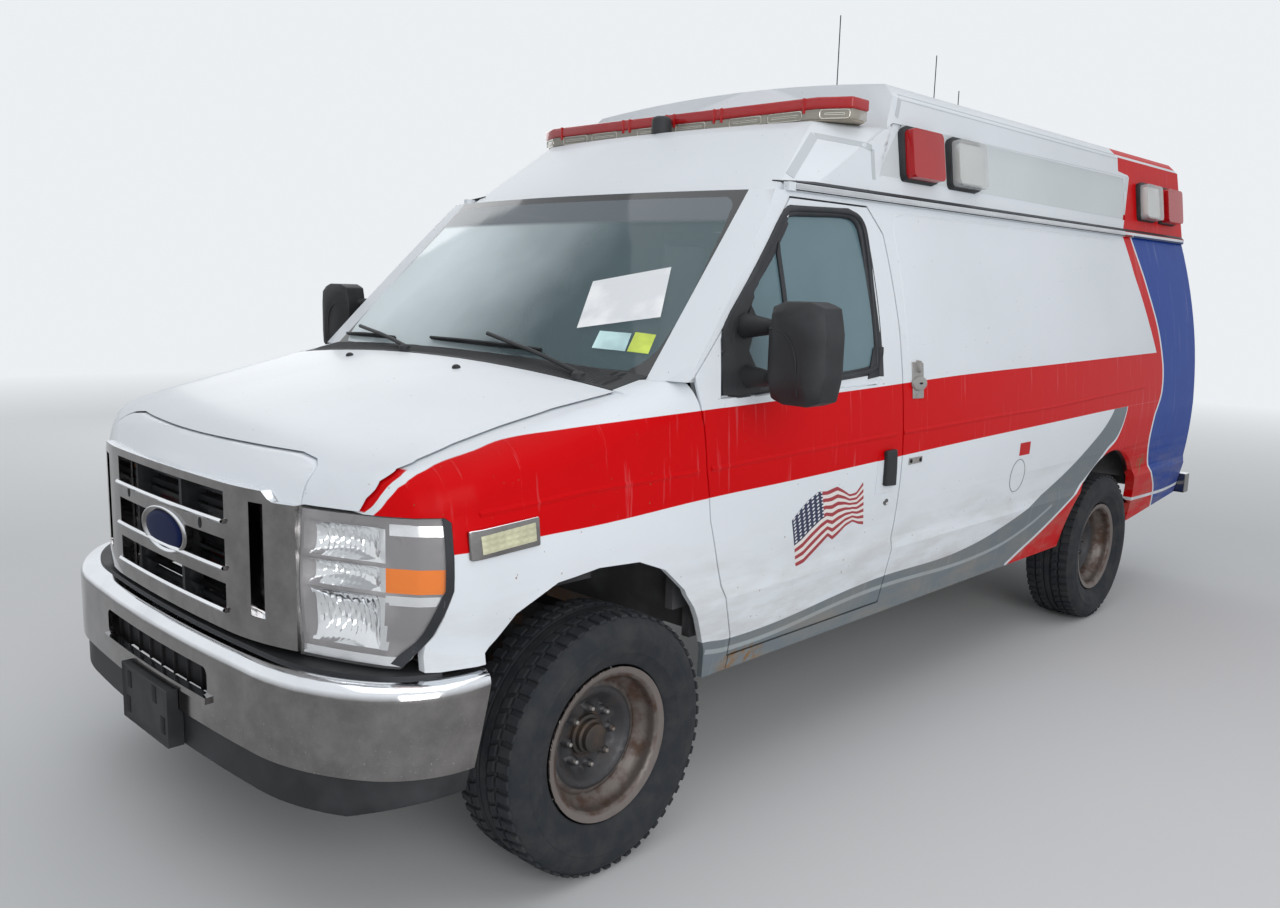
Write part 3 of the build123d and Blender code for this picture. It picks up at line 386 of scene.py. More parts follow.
livery = {
    "white": (0.71, 0.745, 0.785), "haze": (0.66, 0.70, 0.735), "red": (0.56, 0.002, 0.004),
    "blue": (0.006, 0.048, 0.29), "grey": (0.165, 0.195, 0.215), "lightGrey": (0.33, 0.37, 0.39),
    "dirt": (0.30, 0.25, 0.20), "chip": (0.20, 0.075, 0.03), "rust": (0.23, 0.125, 0.05),
    "stripeTop": [(-0.70, 1.02), (-0.626, 1.094), (-0.612, 1.122), (-0.581, 1.158), (-0.524, 1.190),
                  (-0.460, 1.210), (-0.402, 1.223), (-0.308, 1.245), (-0.159, 1.261), (0.0, 1.271),
                  (0.327, 1.284), (0.506, 1.288), (1.209, 1.304), (1.488, 1.312), (1.852, 1.322),
                  (2.70, 1.334), (3.814, 1.350), (4.80, 1.362)],
    "stripeFoot": [(-0.70, 0.993), (-0.500, 0.993), (-0.275, 1.007), (-0.04, 1.012), (0.343, 1.028),
                   (0.771, 1.035), (1.25, 1.046), (1.855, 1.061), (2.709, 1.077), (3.450, 1.091),
                   (4.80, 1.10)],
    "wingTop": [(-0.70, 1.03), (-0.638, 1.097), (-0.621, 1.128), (-0.587, 1.167), (-0.525, 1.201),
                (-0.454, 1.219), (-0.432, 1.224), (-0.39, 1.244), (-0.30, 1.30)],
    "nose": -0.69, "wingRear": -0.35, "wingHead": 1.245,
    "sweepFoot": [(0.30, 0.572), (0.417, 0.567), (0.539, 0.552), (1.363, 0.594), (2.023, 0.597),
                  (2.394, 0.655), (2.780, 0.767), (3.224, 0.952), (3.357, 1.024), (3.45, 1.10)],
    "sweepHead": [(2.50, 0.44), (2.60, 0.482), (2.80, 0.56), (3.0, 0.655), (3.2, 0.765), (3.40, 0.885),
                  (3.541, 0.967), (3.62, 1.11)], "sweepFront": 0.30, "sweepTail": 3.2,
    "rockerLine": [(0.425, 0.531), (0.549, 0.515), (1.326, 0.551), (2.294, 0.548), (2.60, 0.60),
                   (2.84, 0.68)],
    "rockerEnds": (0.43, 2.84), "edging": 0.009, "line": 0.008,
    "rearEdge": [(0.30, 4.32), (0.56, 4.27), (0.80, 4.03), (1.0, 4.02), (1.15, 4.11), (1.40, 4.09),
                 (1.70, 3.96), (1.95, 3.86), (2.60, 3.78)], "rearHead": 1.965, "rearWhite": 0.019,
    "wedgeEdge": [(0.30, 4.2), (1.34, 4.02), (1.50, 3.93), (1.75, 3.80), (1.97, 3.735),
                  (2.035, 3.762), (2.258, 3.850), (2.262, 3.70), (2.60, 3.70)],
    "wedgeFoot": 1.34, "wedgeHead": 2.40, "roofLine": (3.70, 2.345),
    "footLine": [(3.80, 0.572), (4.20, 0.560), (4.50, 0.561), (4.76, 0.590)], "footFront": 3.86,
    "doorRust": (0.53, 0.72, 0.497), "archRust": (3.93, 0.775, 0.06),
}


def gloss(vector, shader, roughness=0.38, coat=0.015):
    feed(shader, roughness=roughness, specular=0.07, coat=coat, coatRoughness=0.07)
    bump(shader, noise(vector, 320.0, 2.0), 0.04, 0.0004)


def aged(vector, up, colour):
    # haze over the panels and in runs, road dirt low down, and small rust-brown chips
    low = spread(up, 0.46, 0.95, 0.65, 0.0)
    splash = spread(noise(vector, 6.0, 6.0, 0.6, (1.0, 0.6, 2.4)), 0.42, 0.78)
    colour = mix(calc('MULTIPLY', low, splash), colour, livery["dirt"])
    streaks = spread(noise(vector, 5.0, 5.0, 0.55, (1.0, 9.0, 0.5)), 0.60, 0.85, 0.0, 0.22)
    colour = mix(streaks, colour, livery["haze"])
    chips = spread(noise(vector, 75.0, 2.0, 0.5), 0.752, 0.765)
    return mix(calc('MULTIPLY', chips, spread(up, 0.60, 1.9, 1.0, 0.45)), colour, livery["chip"])


def bodyPaint():
    material, shader = newMaterial("bodyPaint")
    vector, (across, along, up) = place()
    station = calc('ADD', along, frontAxle)
    side = calc('ABSOLUTE', across)
    white, red = livery["white"], livery["red"]
    colour = mix(spread(noise(vector, 1.6, 2.0), 0.35, 0.7, 0.0, 0.8), white, livery["haze"])
    wide = above(side, 0.74, 0.01)

    # red stripe with the curved white band above it on the wing
    stripeFoot = curve(station, livery["stripeFoot"])
    offNose = both(above(station, livery["nose"]), wide)
    stripe = both(below(up, curve(station, livery["stripeTop"])), above(up, stripeFoot), offNose)
    sliver = both(above(up, curve(station, livery["wingTop"])), below(station, livery["wingRear"]),
                  below(up, livery["wingHead"]), offNose)
    colour = mix(either(stripe, sliver), colour, red)

    # grey sweep that rises from the sill, a white line behind it, and red round the rear wheel
    sweepFoot = curve(station, livery["sweepFoot"])
    sweepHead = curve(station, livery["sweepHead"])
    footEnd = livery["sweepFoot"][-1][0]
    headStart, headEnd = livery["sweepHead"][0][0], livery["sweepHead"][-1][0]
    under = both(below(up, stripeFoot), above(station, livery["sweepFront"]), wide)
    front = both(below(up, sweepFoot), below(station, footEnd))
    tail = both(above(station, livery["sweepTail"]), below(station, headEnd))
    grey = both(under, either(front, tail), either(below(up, sweepFoot), above(station, footEnd)))
    colour = mix(grey, colour, livery["grey"])
    rockerLine = gap(up, curve(station, livery["rockerLine"]))
    rockerFront, rockerRear = livery["rockerEnds"]
    line = both(below(rockerLine, livery["line"]), above(station, rockerFront), below(station, rockerRear),
                wide)
    colour = mix(line, colour, livery["lightGrey"])
    behind = both(under, above(station, headStart), either(below(up, sweepHead), above(station, headEnd)))
    colour = mix(behind, colour, red)
    edging = both(under, below(gap(up, sweepHead), livery["edging"]), above(station, headStart),
                  below(station, headEnd))
    colour = mix(edging, colour, white)

    # rear corner: a red band, a white edge and the blue field
    wedge = both(above(station, curve(up, livery["wedgeEdge"], False, 5.0)), above(side, 0.70, 0.01),
                 above(up, livery["wedgeFoot"]), below(up, livery["wedgeHead"]))
    colour = mix(wedge, colour, red)
    rearEdge = curve(up, livery["rearEdge"], tall=5.0)
    low = below(up, livery["rearHead"])
    colour = mix(both(above(station, calc('SUBTRACT', rearEdge, livery["rearWhite"])), low), colour, white)
    colour = mix(both(above(station, rearEdge), low), colour, livery["blue"])
    footLine = below(gap(up, curve(station, livery["footLine"])), livery["edging"])
    colour = mix(both(footLine, above(station, livery["footFront"])), colour, white)
    lineFront, lineHeight = livery["roofLine"]
    colour = mix(both(above(station, lineFront), below(gap(up, lineHeight), livery["line"])), colour, white)

    # rust at the foot of the door and on the rear arch
    eaten = spread(noise(vector, 34.0, 5.0, 0.6), 0.47, 0.58)
    first, last, head = livery["doorRust"]
    foot = both(above(station, first, 0.08), below(station, last, 0.08), below(up, head, 0.03))
    rustStation, rustHeight, reachOut = livery["archRust"]
    arch = below(calc('ADD', gap(station, rustStation), gap(up, rustHeight)), reachOut, 0.05)
    colour = mix(both(either(foot, arch), wide, eaten), colour, livery["rust"])

    feed(shader, colour=aged(vector, up, colour))
    gloss(vector, shader)
    return material


def plainPaint(name, colour, roughness=0.34, coat=0.08, old=False):
    material, shader = newMaterial(name)
    vector, spot = place()
    shade = mix(spread(noise(vector, 2.2), 0.35, 0.7, 0.0, 0.6), colour, tinted(colour, 0.90))
    feed(shader, colour=aged(vector, spot[2], shade) if old else shade)
    gloss(vector, shader, roughness, coat)
    return material


def plastic(name, colour, roughness=0.55, grain=420.0):
    material, shader = newMaterial(name)
    vector = place()[0]
    cloud = noise(vector, 7.0, 4.0)
    feed(shader, colour=mix(spread(cloud, 0.45, 0.75), colour, tinted(colour, 1.7, 0.01)), specular=0.30,
         roughness=spread(cloud, 0.3, 0.7, roughness - 0.08, roughness + 0.1))
    bump(shader, noise(vector, grain), 0.10, 0.0006)
    return material


grilleHeader = [(0.0, 1.108), (0.508, 1.108), (0.545, 1.083), (0.70, 1.083)]  # (off the middle, height)


def chromePlate(name, colour, roughness, ground=None, header=False):
    # ground: the dark road, painted into the colour as a reflection on faces turned down or ahead; header:
    # white above the grille's line
    material, shader = newMaterial(name)
    vector, (across, _, up) = place()
    haze = noise(vector, 5.0, 5.0, 0.6)
    shade = mix(spread(haze, 0.4, 0.8), colour, tinted(colour, 0.82))
    rough = spread(haze, 0.35, 0.75, roughness, roughness + 0.14)
    metal = 1.0
    if ground:
        # painted reflection: faces turned down or ahead take the dark road's colour, faces turned up keep the
        # bright chrome colour
        facing = place("Normal")[1][2]
        paintedRoadReflection = mix(spread(noise(vector, 11.0, 5.0, 0.65), 0.35, 0.7), ground, tinted(ground, 1.45))
        shade = mix(spread(facing, 0.18, 0.55), paintedRoadReflection, shade)
        pits = spread(noise(vector, 210.0, 2.0), 0.70, 0.74, 0.0, 0.7)
        shade = mix(calc('MULTIPLY', pits, spread(up, 0.50, 0.66, 1.0, 0.15)), shade, (0.66, 0.64, 0.60))
    if header:
        painted = above(up, curve(calc('ABSOLUTE', across), grilleHeader, False))
        shade = mix(painted, shade, livery["white"])
        rough = calc('MULTIPLY_ADD', painted, 0.25, rough)
        metal = spread(painted, 0.0, 1.0, 1.0, 0.0)
    feed(shader, colour=shade, roughness=rough, metallic=metal)
    bump(shader, noise(vector, 60.0, 2.0), 0.02, 0.0005)
    return material


def tintedGlass(name, colour, alpha):
    material, shader = newMaterial(name)
    film = noise(place()[0], 3.0)
    feed(shader, colour=mix(film, colour, tinted(colour, 0.7)), roughness=spread(film, 0.3, 0.7, 0.03, 0.07),
         alpha=alpha, ior=1.5)
    return material


windscreenSet = {"sideBorder": [(1.34, 0.70), (1.385, 0.77), (1.42, 0.810), (1.50, 0.824), (1.60, 0.810),
                                (1.75, 0.775), (1.86, 0.745), (1.905, 0.722), (1.93, 0.67), (1.96, 0.57)],
                 "head": 1.921, "foot": 1.385, "shadeFoot": 1.835, "border": (0.012, 0.013, 0.015),
                 "tint": (0.085, 0.15, 0.17), "sky": (0.80, 0.91, 0.95), "shade": (0.10, 0.125, 0.145)}


def windscreenGlass():
    # black border, shaded head, and a painted glare of the sky in colour and alpha that grows towards the
    # van's right side
    material, shader = newMaterial("windscreenGlass")
    vector, (across, _, up) = place()
    film = noise(vector, 2.0)
    border = either(above(calc('ABSOLUTE', across), curve(up, windscreenSet["sideBorder"])),
                    above(up, windscreenSet["head"]), below(up, windscreenSet["foot"]))
    shade = spread(up, windscreenSet["shadeFoot"], windscreenSet["shadeFoot"] + 0.012)
    # painted reflection: the sky's colour is mixed into the glass, more towards the van's right side
    paintedGlare = spread(calc('MULTIPLY_ADD', film, 0.5, across), -0.30, 0.70, 1.0, 0.0)
    colour = mix(film, windscreenSet["tint"], tinted(windscreenSet["tint"], 0.7))
    for mask, key in ((paintedGlare, "sky"), (shade, "shade"), (border, "border")):
        colour = mix(mask, colour, windscreenSet[key])
    clear = either(spread(shade, 0.0, 1.0, 0.60, 0.88), border, spread(paintedGlare, 0.0, 1.0, 0.60, 0.84))
    feed(shader, colour=colour, alpha=clear, roughness=spread(film, 0.3, 0.7, 0.03, 0.07))
    return material


def steel(name, colour, roughness=0.6, rust=(0.16, 0.07, 0.03), amount=0.5):
    material, shader = newMaterial(name)
    vector = place()[0]
    patches, fine = noise(vector, 9.0, 6.0, 0.62), noise(vector, 60.0, 4.0, 0.6)
    mask = calc('MULTIPLY', spread(patches, 0.62 - 0.25 * amount, 0.75 - 0.2 * amount),
                spread(fine, 0.3, 0.6))
    feed(shader, colour=mix(mask, colour, rust), roughness=spread(mask, 0.0, 1.0, roughness, 0.9),
         metallic=0.25)
    bump(shader, fine, 0.35, 0.0012)
    return material


# radii of the wheel's painted zones, and each zone's colour with its rust
wheelSet = {"axles": (-frontAxle, 1.585), "height": 0.373, "disc": 0.158, "hub": 0.068, "rim": 0.2215,
            "barrelLook": ((0.135, 0.115, 0.105), (0.075, 0.042, 0.030)),
            "discLook": ((0.042, 0.042, 0.046), (0.080, 0.062, 0.055)),
            "hubLook": ((0.040, 0.034, 0.032), (0.085, 0.055, 0.038)),
            "seam": (0.22, 0.19, 0.175), "lip": (0.17, 0.145, 0.135), "worn": (0.40, 0.37, 0.34)}


def wheelPaint():
    material, shader = newMaterial("wheelSteel")
    vector, (_, along, up) = place()
    off = calc('MINIMUM', *[gap(along, axle) for axle in wheelSet["axles"]])
    rise = calc('SUBTRACT', up, wheelSet["height"])
    radius = calc('SQRT', calc('ADD', calc('MULTIPLY', off, off), calc('MULTIPLY', rise, rise)))
    disc, hub, rim = (wheelSet[key] for key in ("disc", "hub", "rim"))
    patches = noise(vector, 16.0, 5.0, 0.6)
    colour = mix(above(radius, disc, 0.004), mix(spread(patches, 0.5, 0.7, 0.0, 0.6), *wheelSet["discLook"]),
                 mix(spread(patches, 0.42, 0.62), *wheelSet["barrelLook"]))
    seam = calc('MULTIPLY', below(gap(radius, disc - 0.004), 0.005, 0.004),
                spread(patches, 0.35, 0.6, 0.9, 0.25))
    colour = mix(seam, colour, wheelSet["seam"])
    colour = mix(below(radius, hub, 0.003), colour, mix(spread(patches, 0.45, 0.65), *wheelSet["hubLook"]))
    colour = mix(above(radius, rim - 0.020, 0.006), colour, wheelSet["lip"])
    worn = spread(noise(vector, 42.0, 4.0, 0.6), 0.42, 0.56)
    colour = mix(calc('MULTIPLY', above(radius, rim, 0.003), worn), colour, wheelSet["worn"])
    feed(shader, colour=colour, roughness=spread(patches, 0.4, 0.7, 0.42, 0.75), metallic=0.35)
    bump(shader, noise(vector, 70.0, 4.0, 0.6), 0.3, 0.001)
    return material


def rubber():
    material, shader = newMaterial("rubber")
    vector = place()[0]
    dust = spread(noise(vector, 14.0, 5.0, 0.6), 0.4, 0.75, 0.0, 0.7)
    feed(shader, colour=mix(dust, (0.017, 0.020, 0.025), (0.048, 0.047, 0.046)), roughness=0.82,
         specular=0.35)
    bump(shader, noise(vector, 240.0), 0.3, 0.0006)
    return material


# stripes and dots in shares of the flag's width and height
flagInkSet = {"stripes": 13.0, "dots": (16.5, 14.8), "dotSize": 0.065, "field": (0.40, 0.46),
              "pale": (0.74, 0.70, 0.68), "red": (0.33, 0.025, 0.035), "blue": (0.012, 0.018, 0.06),
              "dot": (0.74, 0.75, 0.78)}


def flagInk():
    material, shader = newMaterial("flagPrint")
    u, v = place("UV")[1][:2]
    stripes = calc('MODULO', calc('MULTIPLY', v, flagInkSet["stripes"]), 2.0)
    colour = mix(below(stripes, 1.0, 0.08), flagInkSet["pale"], flagInkSet["red"])
    offs = [calc('SUBTRACT', calc('FRACT', calc('MULTIPLY', share, count)), 0.5)
            for share, count in zip((u, v), flagInkSet["dots"])]
    spot = calc('ADD', *[calc('MULTIPLY', off, off) for off in offs])
    field = mix(below(spot, flagInkSet["dotSize"], 0.03), flagInkSet["blue"], flagInkSet["dot"])
    fieldWide, fieldFoot = flagInkSet["field"]
    canton = both(below(u, fieldWide, 0.01), above(v, fieldFoot, 0.01))
    feed(shader, colour=mix(canton, colour, field), roughness=0.4)
    bump(shader, noise(place()[0], 200.0, 2.0), 0.05, 0.0004)
    return material


# the second colour is the road's, painted into the chrome as a reflection
brightMetal, paintedRoadTint = (0.88, 0.90, 0.93), (0.20, 0.19, 0.185)
paint = bodyPaint()
whitePaint = plainPaint("whitePaint", livery["white"], old=True)
blackPlastic = plastic("blackPlastic", (0.018, 0.019, 0.021))
greyPlastic = plastic("greyPlastic", (0.10, 0.10, 0.105))
seatVinyl = plastic("seatVinyl", (0.16, 0.155, 0.15), 0.6, 200.0)
chrome = chromePlate("chromePlate", brightMetal, 0.07, paintedRoadTint)
grilleChrome = chromePlate("grilleChrome", brightMetal, 0.08, paintedRoadTint, True)
glass = tintedGlass("tintedGlass", (0.165, 0.27, 0.315), 0.74)
lensClear = tintedGlass("lensClear", (0.75, 0.76, 0.76), 0.5)
lensRed = plainPaint("lensRed", (0.45, 0.012, 0.014), 0.15, 0.6)
chassisSteel = steel("chassisSteel", (0.035, 0.035, 0.036))
wheelSteel = wheelPaint()
axleIron = steel("axleIron", (0.075, 0.066, 0.060), 0.7, (0.13, 0.068, 0.040), 0.9)
exhaustSteel = steel("exhaustSteel", (0.30, 0.28, 0.26), 0.45, (0.2, 0.11, 0.06), 0.6)
tyreRubber = rubber()
windscreen = windscreenGlass()
badgeBlue = plainPaint("badgeBlue", (0.004, 0.010, 0.055), 0.45, 0.0)
brightChrome = chromePlate("brightChrome", (0.92, 0.93, 0.95), 0.06)
voidBlack = plastic("voidBlack", (0.004, 0.004, 0.005), 0.7)
lampBezel = plastic("lampBezel", (0.215, 0.205, 0.21), 0.35)
reflector = chromePlate("reflector", (0.86, 0.87, 0.88), 0.05)
silverBand = chromePlate("silverBand", (0.93, 0.93, 0.94), 0.16)
lampAmber = plainPaint("lampAmber", (0.86, 0.20, 0.002), 0.45, 0.0)
lensCover = tintedGlass("lensCover", (0.82, 0.84, 0.86), 0.07)
trimRubber = plastic("trimRubber", (0.020, 0.022, 0.026), 0.5)
ledCream = plastic("ledCream", (0.50, 0.49, 0.34), 0.3)
paperWhite = plastic("paperWhite", (0.72, 0.74, 0.77), 0.6)
paperBlue = plastic("paperBlue", (0.42, 0.60, 0.62), 0.6)
paperGreen = plastic("paperGreen", (0.48, 0.58, 0.10), 0.6)
bareSteel = steel("bareSteel", (0.30, 0.29, 0.28), 0.42, (0.14, 0.08, 0.05))
seamGrey = plastic("seamGrey", (0.22, 0.235, 0.245), 0.6)
stickerRed = plainPaint("stickerRed", (0.50, 0.01, 0.012), 0.4, 0.1)
barClear = tintedGlass("barClear", (0.62, 0.60, 0.52), 0.45)
barRed = tintedGlass("barRed", (0.50, 0.006, 0.010), 0.86)
barTan = plastic("barTan", (0.24, 0.21, 0.17), 0.5)
barFrame = chromePlate("barFrame", (0.62, 0.60, 0.54), 0.2)
redCore = chromePlate("redCore", (0.62, 0.10, 0.10), 0.25)
clearCore = chromePlate("clearCore", (0.80, 0.82, 0.78), 0.22)
# the recessed roof panel's grey is painted shade, laid on a flat sheet
recessShadeGrey = plainPaint("recessShadeGrey", (0.60, 0.64, 0.66), 0.42, 0.04)
tapeGrey = plainPaint("tapeGrey", (0.53, 0.565, 0.59), 0.5, 0.02)
gutterSilver = chromePlate("gutterSilver", (0.62, 0.63, 0.65), 0.25)
bulkheadGrey = plastic("bulkheadGrey", (0.20, 0.205, 0.205), 0.7)
mirrorGlass = chromePlate("mirrorGlass", (0.88, 0.89, 0.90), 0.02)
flagPrint = flagInk()
print("materials made")

# what each CAD node wears, and the bevel on its edges
finishes = {
    (paint, 0.0025): ("front_fenders", "front_door_left", "front_door_right", "side_door_front",
                      "side_door_rear", "rear_door_left", "rear_door_right"),
    (paint, 0.0): ("side_panel_left", "side_panel_right", "raised_roof"),
    (whitePaint, 0.0025): ("hood",), (bulkheadGrey, 0.0): ("bulkhead",),
    (greyPlastic, 0.0): ("floor_pan", "dashboard"),
    (chassisSteel, 0.0): ("frame_rails", "front_beams", "front_springs", "driveshaft"),
    (chassisSteel, 0.003): ("fuel_tank",), (exhaustSteel, 0.0): ("exhaust",),
    (axleIron, 0.004): ("engine_block",),
    (axleIron, 0.0): ("rear_axle", "knuckle_left", "knuckle_right"), (seatVinyl, 0.008): ("cab_seats",),
    (chrome, 0.003): ("front_bumper", "rear_bumper"), (chrome, 0.004): ("fender_lamps",),
    (grilleChrome, 0.002): ("grille",), (blackPlastic, 0.0): ("grille_louvres", "whip_antennas"),
    (blackPlastic, 0.002): ("bumper_valance", "cowl_grille"), (lensCover, 0.002): ("headlamps",),
    (lensClear, 0.004): ("warning_lamps_clear",), (barRed, 0.004): ("warning_lamps_red",),
    (lensRed, 0.002): ("tail_lamps",), (windscreen, 0.0): ("windshield",),
    (glass, 0.0): ("front_door_glass_left", "front_door_glass_right", "side_door_glass_front",
                   "side_door_glass_rear", "rear_door_glass_left", "rear_door_glass_right"),
    (wheelSteel, 0.0): ("wheel_front_left", "wheel_front_right", "wheel_rear_left", "wheel_rear_right"),
}
plateSet = {"front": -2.800, "rim": 0.012, "depth": 0.005, "hole": (0.014, 0.024),
            "holes": [(-0.098, 0.478), (-0.112, 0.400), (0.076, 0.484), (0.128, 0.410)]}


def plateFace(obj):
    # the bracket's front gets a raised rim
    editSome(obj, 'FACE', lambda face: face.center.y < plateSet["front"] + 0.0015 and face.normal.y < -0.9)
    bpy.ops.mesh.inset(thickness=plateSet["rim"], depth=-plateSet["depth"])
    done()


for (material, bevel), nodes in finishes.items():
    for node in nodes:
        dressed(node, material, bevel, plateFace if node == "bumper_valance" else None)
print("CAD nodes dressed")


# Laying pieces on the CAD skin

def skinOf(*nodes):
    meshes = [frame["nodes"][node].data for node in nodes]
    return [BVHTree.FromPolygons([tuple(v.co) for v in mesh.vertices],
                                 [tuple(p.vertices) for p in mesh.polygons])
            for mesh in meshes]


def reach(skin, start, direction):
    # the first point that a ray meets, with its normal turned towards the start
    direction = Vector(direction)
    hits = [tree.ray_cast(Vector(start), direction) for tree in skin]
    hits = [hit for hit in hits if hit[0] is not None]
    if not hits:
        return None
    point, normal = min(hits, key=lambda hit: hit[3])[:2]
    return point, -normal if normal.dot(direction) > 0 else normal


def nearest(shoot, first, second):
    # a ray that misses the skin is moved a little until it lands
    for step in (0.0, 0.003, 0.008, 0.016, 0.03):
        for turn in range(8 if step else 1):
            angle = turn * math.pi / 4
            found = shoot(first + step * math.cos(angle), second + step * math.sin(angle))
            if found:
                return found


def onSide(station, height, skin):
    return nearest(lambda s, z: reach(skin, (1.5, s - frontAxle, z), (-1, 0, 0)), station, height)


def onFront(across, height, skin):
    return nearest(lambda x, z: reach(skin, (x, -3.4, z), (0, 1, 0)), across, height)


def onTop(across, station, skin):
    return nearest(lambda x, s: reach(skin, (x, s - frontAxle, 3.3), (0, 0, -1)), across, station)


def sideFinder(*nodes):
    skin = skinOf(*nodes)
    return lambda station, height: onSide(station, height, skin)


def walk(points, share):
    # the place and heading at a share of a drawn line's length
    spans = [math.dist(a, b) for a, b in zip(points, points[1:])]
    left = share * sum(spans)
    for a, b, span in zip(points, points[1:], spans):
        if left <= span or b is points[-1]:
            part = left / span
            return [p + part * (q - p) for p, q in zip(a, b)], [(q - p) / span for p, q in zip(a, b)]
        left -= span


def between(corners, u, v):
    # corners run lower left, lower right, upper right, upper left
    return [(1 - v) * ((1 - u) * p + u * q) + v * ((1 - u) * s + u * r) for p, q, r, s in zip(*corners)]


def laid(name, spot, columns, rows, thick=0.001, lift=0.0002):
    # a sheet whose points spot(u, v) finds on the skin
    grid = primitive(bpy.ops.mesh.primitive_grid_add, x_subdivisions=columns, y_subdivisions=rows, size=1,
                     location=(0, 0, 0))
    obj = named(grid, name)
    outside = Vector()
    for vertex in obj.data.vertices:
        point, normal = spot(vertex.co.x + 0.5, vertex.co.y + 0.5)
        vertex.co = point + normal * lift
        outside += normal
    obj.data.update()
    if sum((face.normal for face in obj.data.polygons), Vector()).dot(outside) < 0:
        obj.data.flip_normals()
    if thick:
        modified(obj, 'SOLIDIFY', thickness=thick, offset=1.0)
    return smooth(obj, 40)


def strip(name, points, width, thick, columns, rows, finder, crown=0.0):
    def spot(u, v):
        (first, second), (runFirst, runSecond) = walk(points, u)
        off = (v - 0.5) * width
        point, normal = finder(first - runSecond * off, second + runFirst * off)
        return point + normal * crown * (1 - abs(2 * v - 1)), normal
    return laid(name, spot, columns, rows, thick)


def quad(name, corners, columns, rows, thick, finder):
    return laid(name, lambda u, v: finder(*between(corners, u, v)), columns, rows, thick)


def boss(name, point, normal, outline, steps=24, stretch=(1, 1, 1)):
    # a turned form stood on a surface; outline: (height, radius) pairs
    obj = lathe(name, outline, 'Z', (0, 0, 0), steps)
    turn = Vector((0, 0, 1)).rotation_difference(Vector(normal)).to_matrix().to_4x4()
    obj.data.transform(Matrix.Translation(Vector(point)) @ turn @ Matrix.Diagonal((*stretch, 1)))
    return obj


def bothSides(obj, material, bodyName="root"):
    twin = mirrored(obj, obj.name + ".right")
    finishPiece(obj, material, bodyName)
    finishPiece(twin, material, bodyName.replace("left", "right"))


def onDoor(obj, material):
    bothSides(obj, material, "front_door_left_body")


# Grille: blank oval badge, thin black discs of painted shade for the holes in the bars, bright feet in the
# outer slots, lips along the bars

grilleSet = {"badge": (0.150, 0.0645, 1), "badgeHeight": 0.924, "badgeHead": 0.062, "badgeSink": 0.012,
             "rim": [(-0.004, 0.0), (-0.004, 1.0), (0.016, 1.0), (0.021, 0.965), (0.021, 0.90),
                     (0.016, 0.865), (0.016, 0.0)],
             "dome": [(0.012, 0.0), (0.012, 0.80), (0.0185, 0.78), (0.0205, 0.62), (0.0215, 0.3),
                      (0.0218, 0.0)],
             "holes": [(-0.268, 0.987), (0.219, 0.981)], "hole": (0.009, 0.015, 1),
             "ring": [(-0.002, 0.0), (-0.002, 1.0), (0.0008, 1.0), (0.0008, 0.0)],
             "footX": 0.486, "footHeight": 0.790, "foot": ((-0.034, 0.001, 0.768), (0.030, 0.030, 0.796)),
             "lips": (1.0075, 0.8835, 0.7715), "lipHalf": 0.350, "lipTall": 0.012, "lipProud": 0.005}


def dressGrille():
    skin = skinOf("grille")
    height = grilleSet["badgeHeight"]
    face = onFront(0.0, height + grilleSet["badgeHead"], skin)[0]
    seat = Vector((0, face.y + grilleSet["badgeSink"], height))
    bezel = boss("badgeBezel", seat, (0, -1, 0), grilleSet["rim"], 48, grilleSet["badge"])
    finishPiece(bezel, chrome)
    finishPiece(boss("badgeBlank", seat, (0, -1, 0), grilleSet["dome"], 48, grilleSet["badge"]), badgeBlue)
    # painted shade: a thin black disc stands for each hole in the bars
    for number, (across, height) in enumerate(grilleSet["holes"]):
        point, normal = onFront(across, height, skin)
        hole = boss(f"grilleHole{number}", point, normal, grilleSet["ring"], 20, grilleSet["hole"])
        finishPiece(hole, voidBlack)
    for side in (1, -1):
        x = side * grilleSet["footX"]
        point = onFront(x + side * 0.040, grilleSet["footHeight"], skin)[0]
        corners = [(x + dx, point.y + dy, z) for dx, dy, z in grilleSet["foot"]]
        finishPiece(block(f"slotFoot{side}", *corners, 0.005, 3), brightChrome)
    half = grilleSet["lipHalf"]
    for number, height in enumerate(grilleSet["lips"]):
        lip = strip(f"grilleLip{number}", [(-half, height), (half, height)], grilleSet["lipTall"], 0.0, 60, 4,
                    lambda across, up: onFront(across, up, skin), grilleSet["lipProud"])
        finishPiece(lip, brightChrome)


# Bumper: ribbed baffle behind the intake, and small black blocks of painted shade for the holes of the blank
# plate bracket

intakeSet = {"half": 0.36, "height": 0.586, "tall": 0.110, "back": 0.040, "ribs": 9, "ribSpread": 0.92,
             "rib": (0.005, -0.012, 0.002), "aim": 0.655}


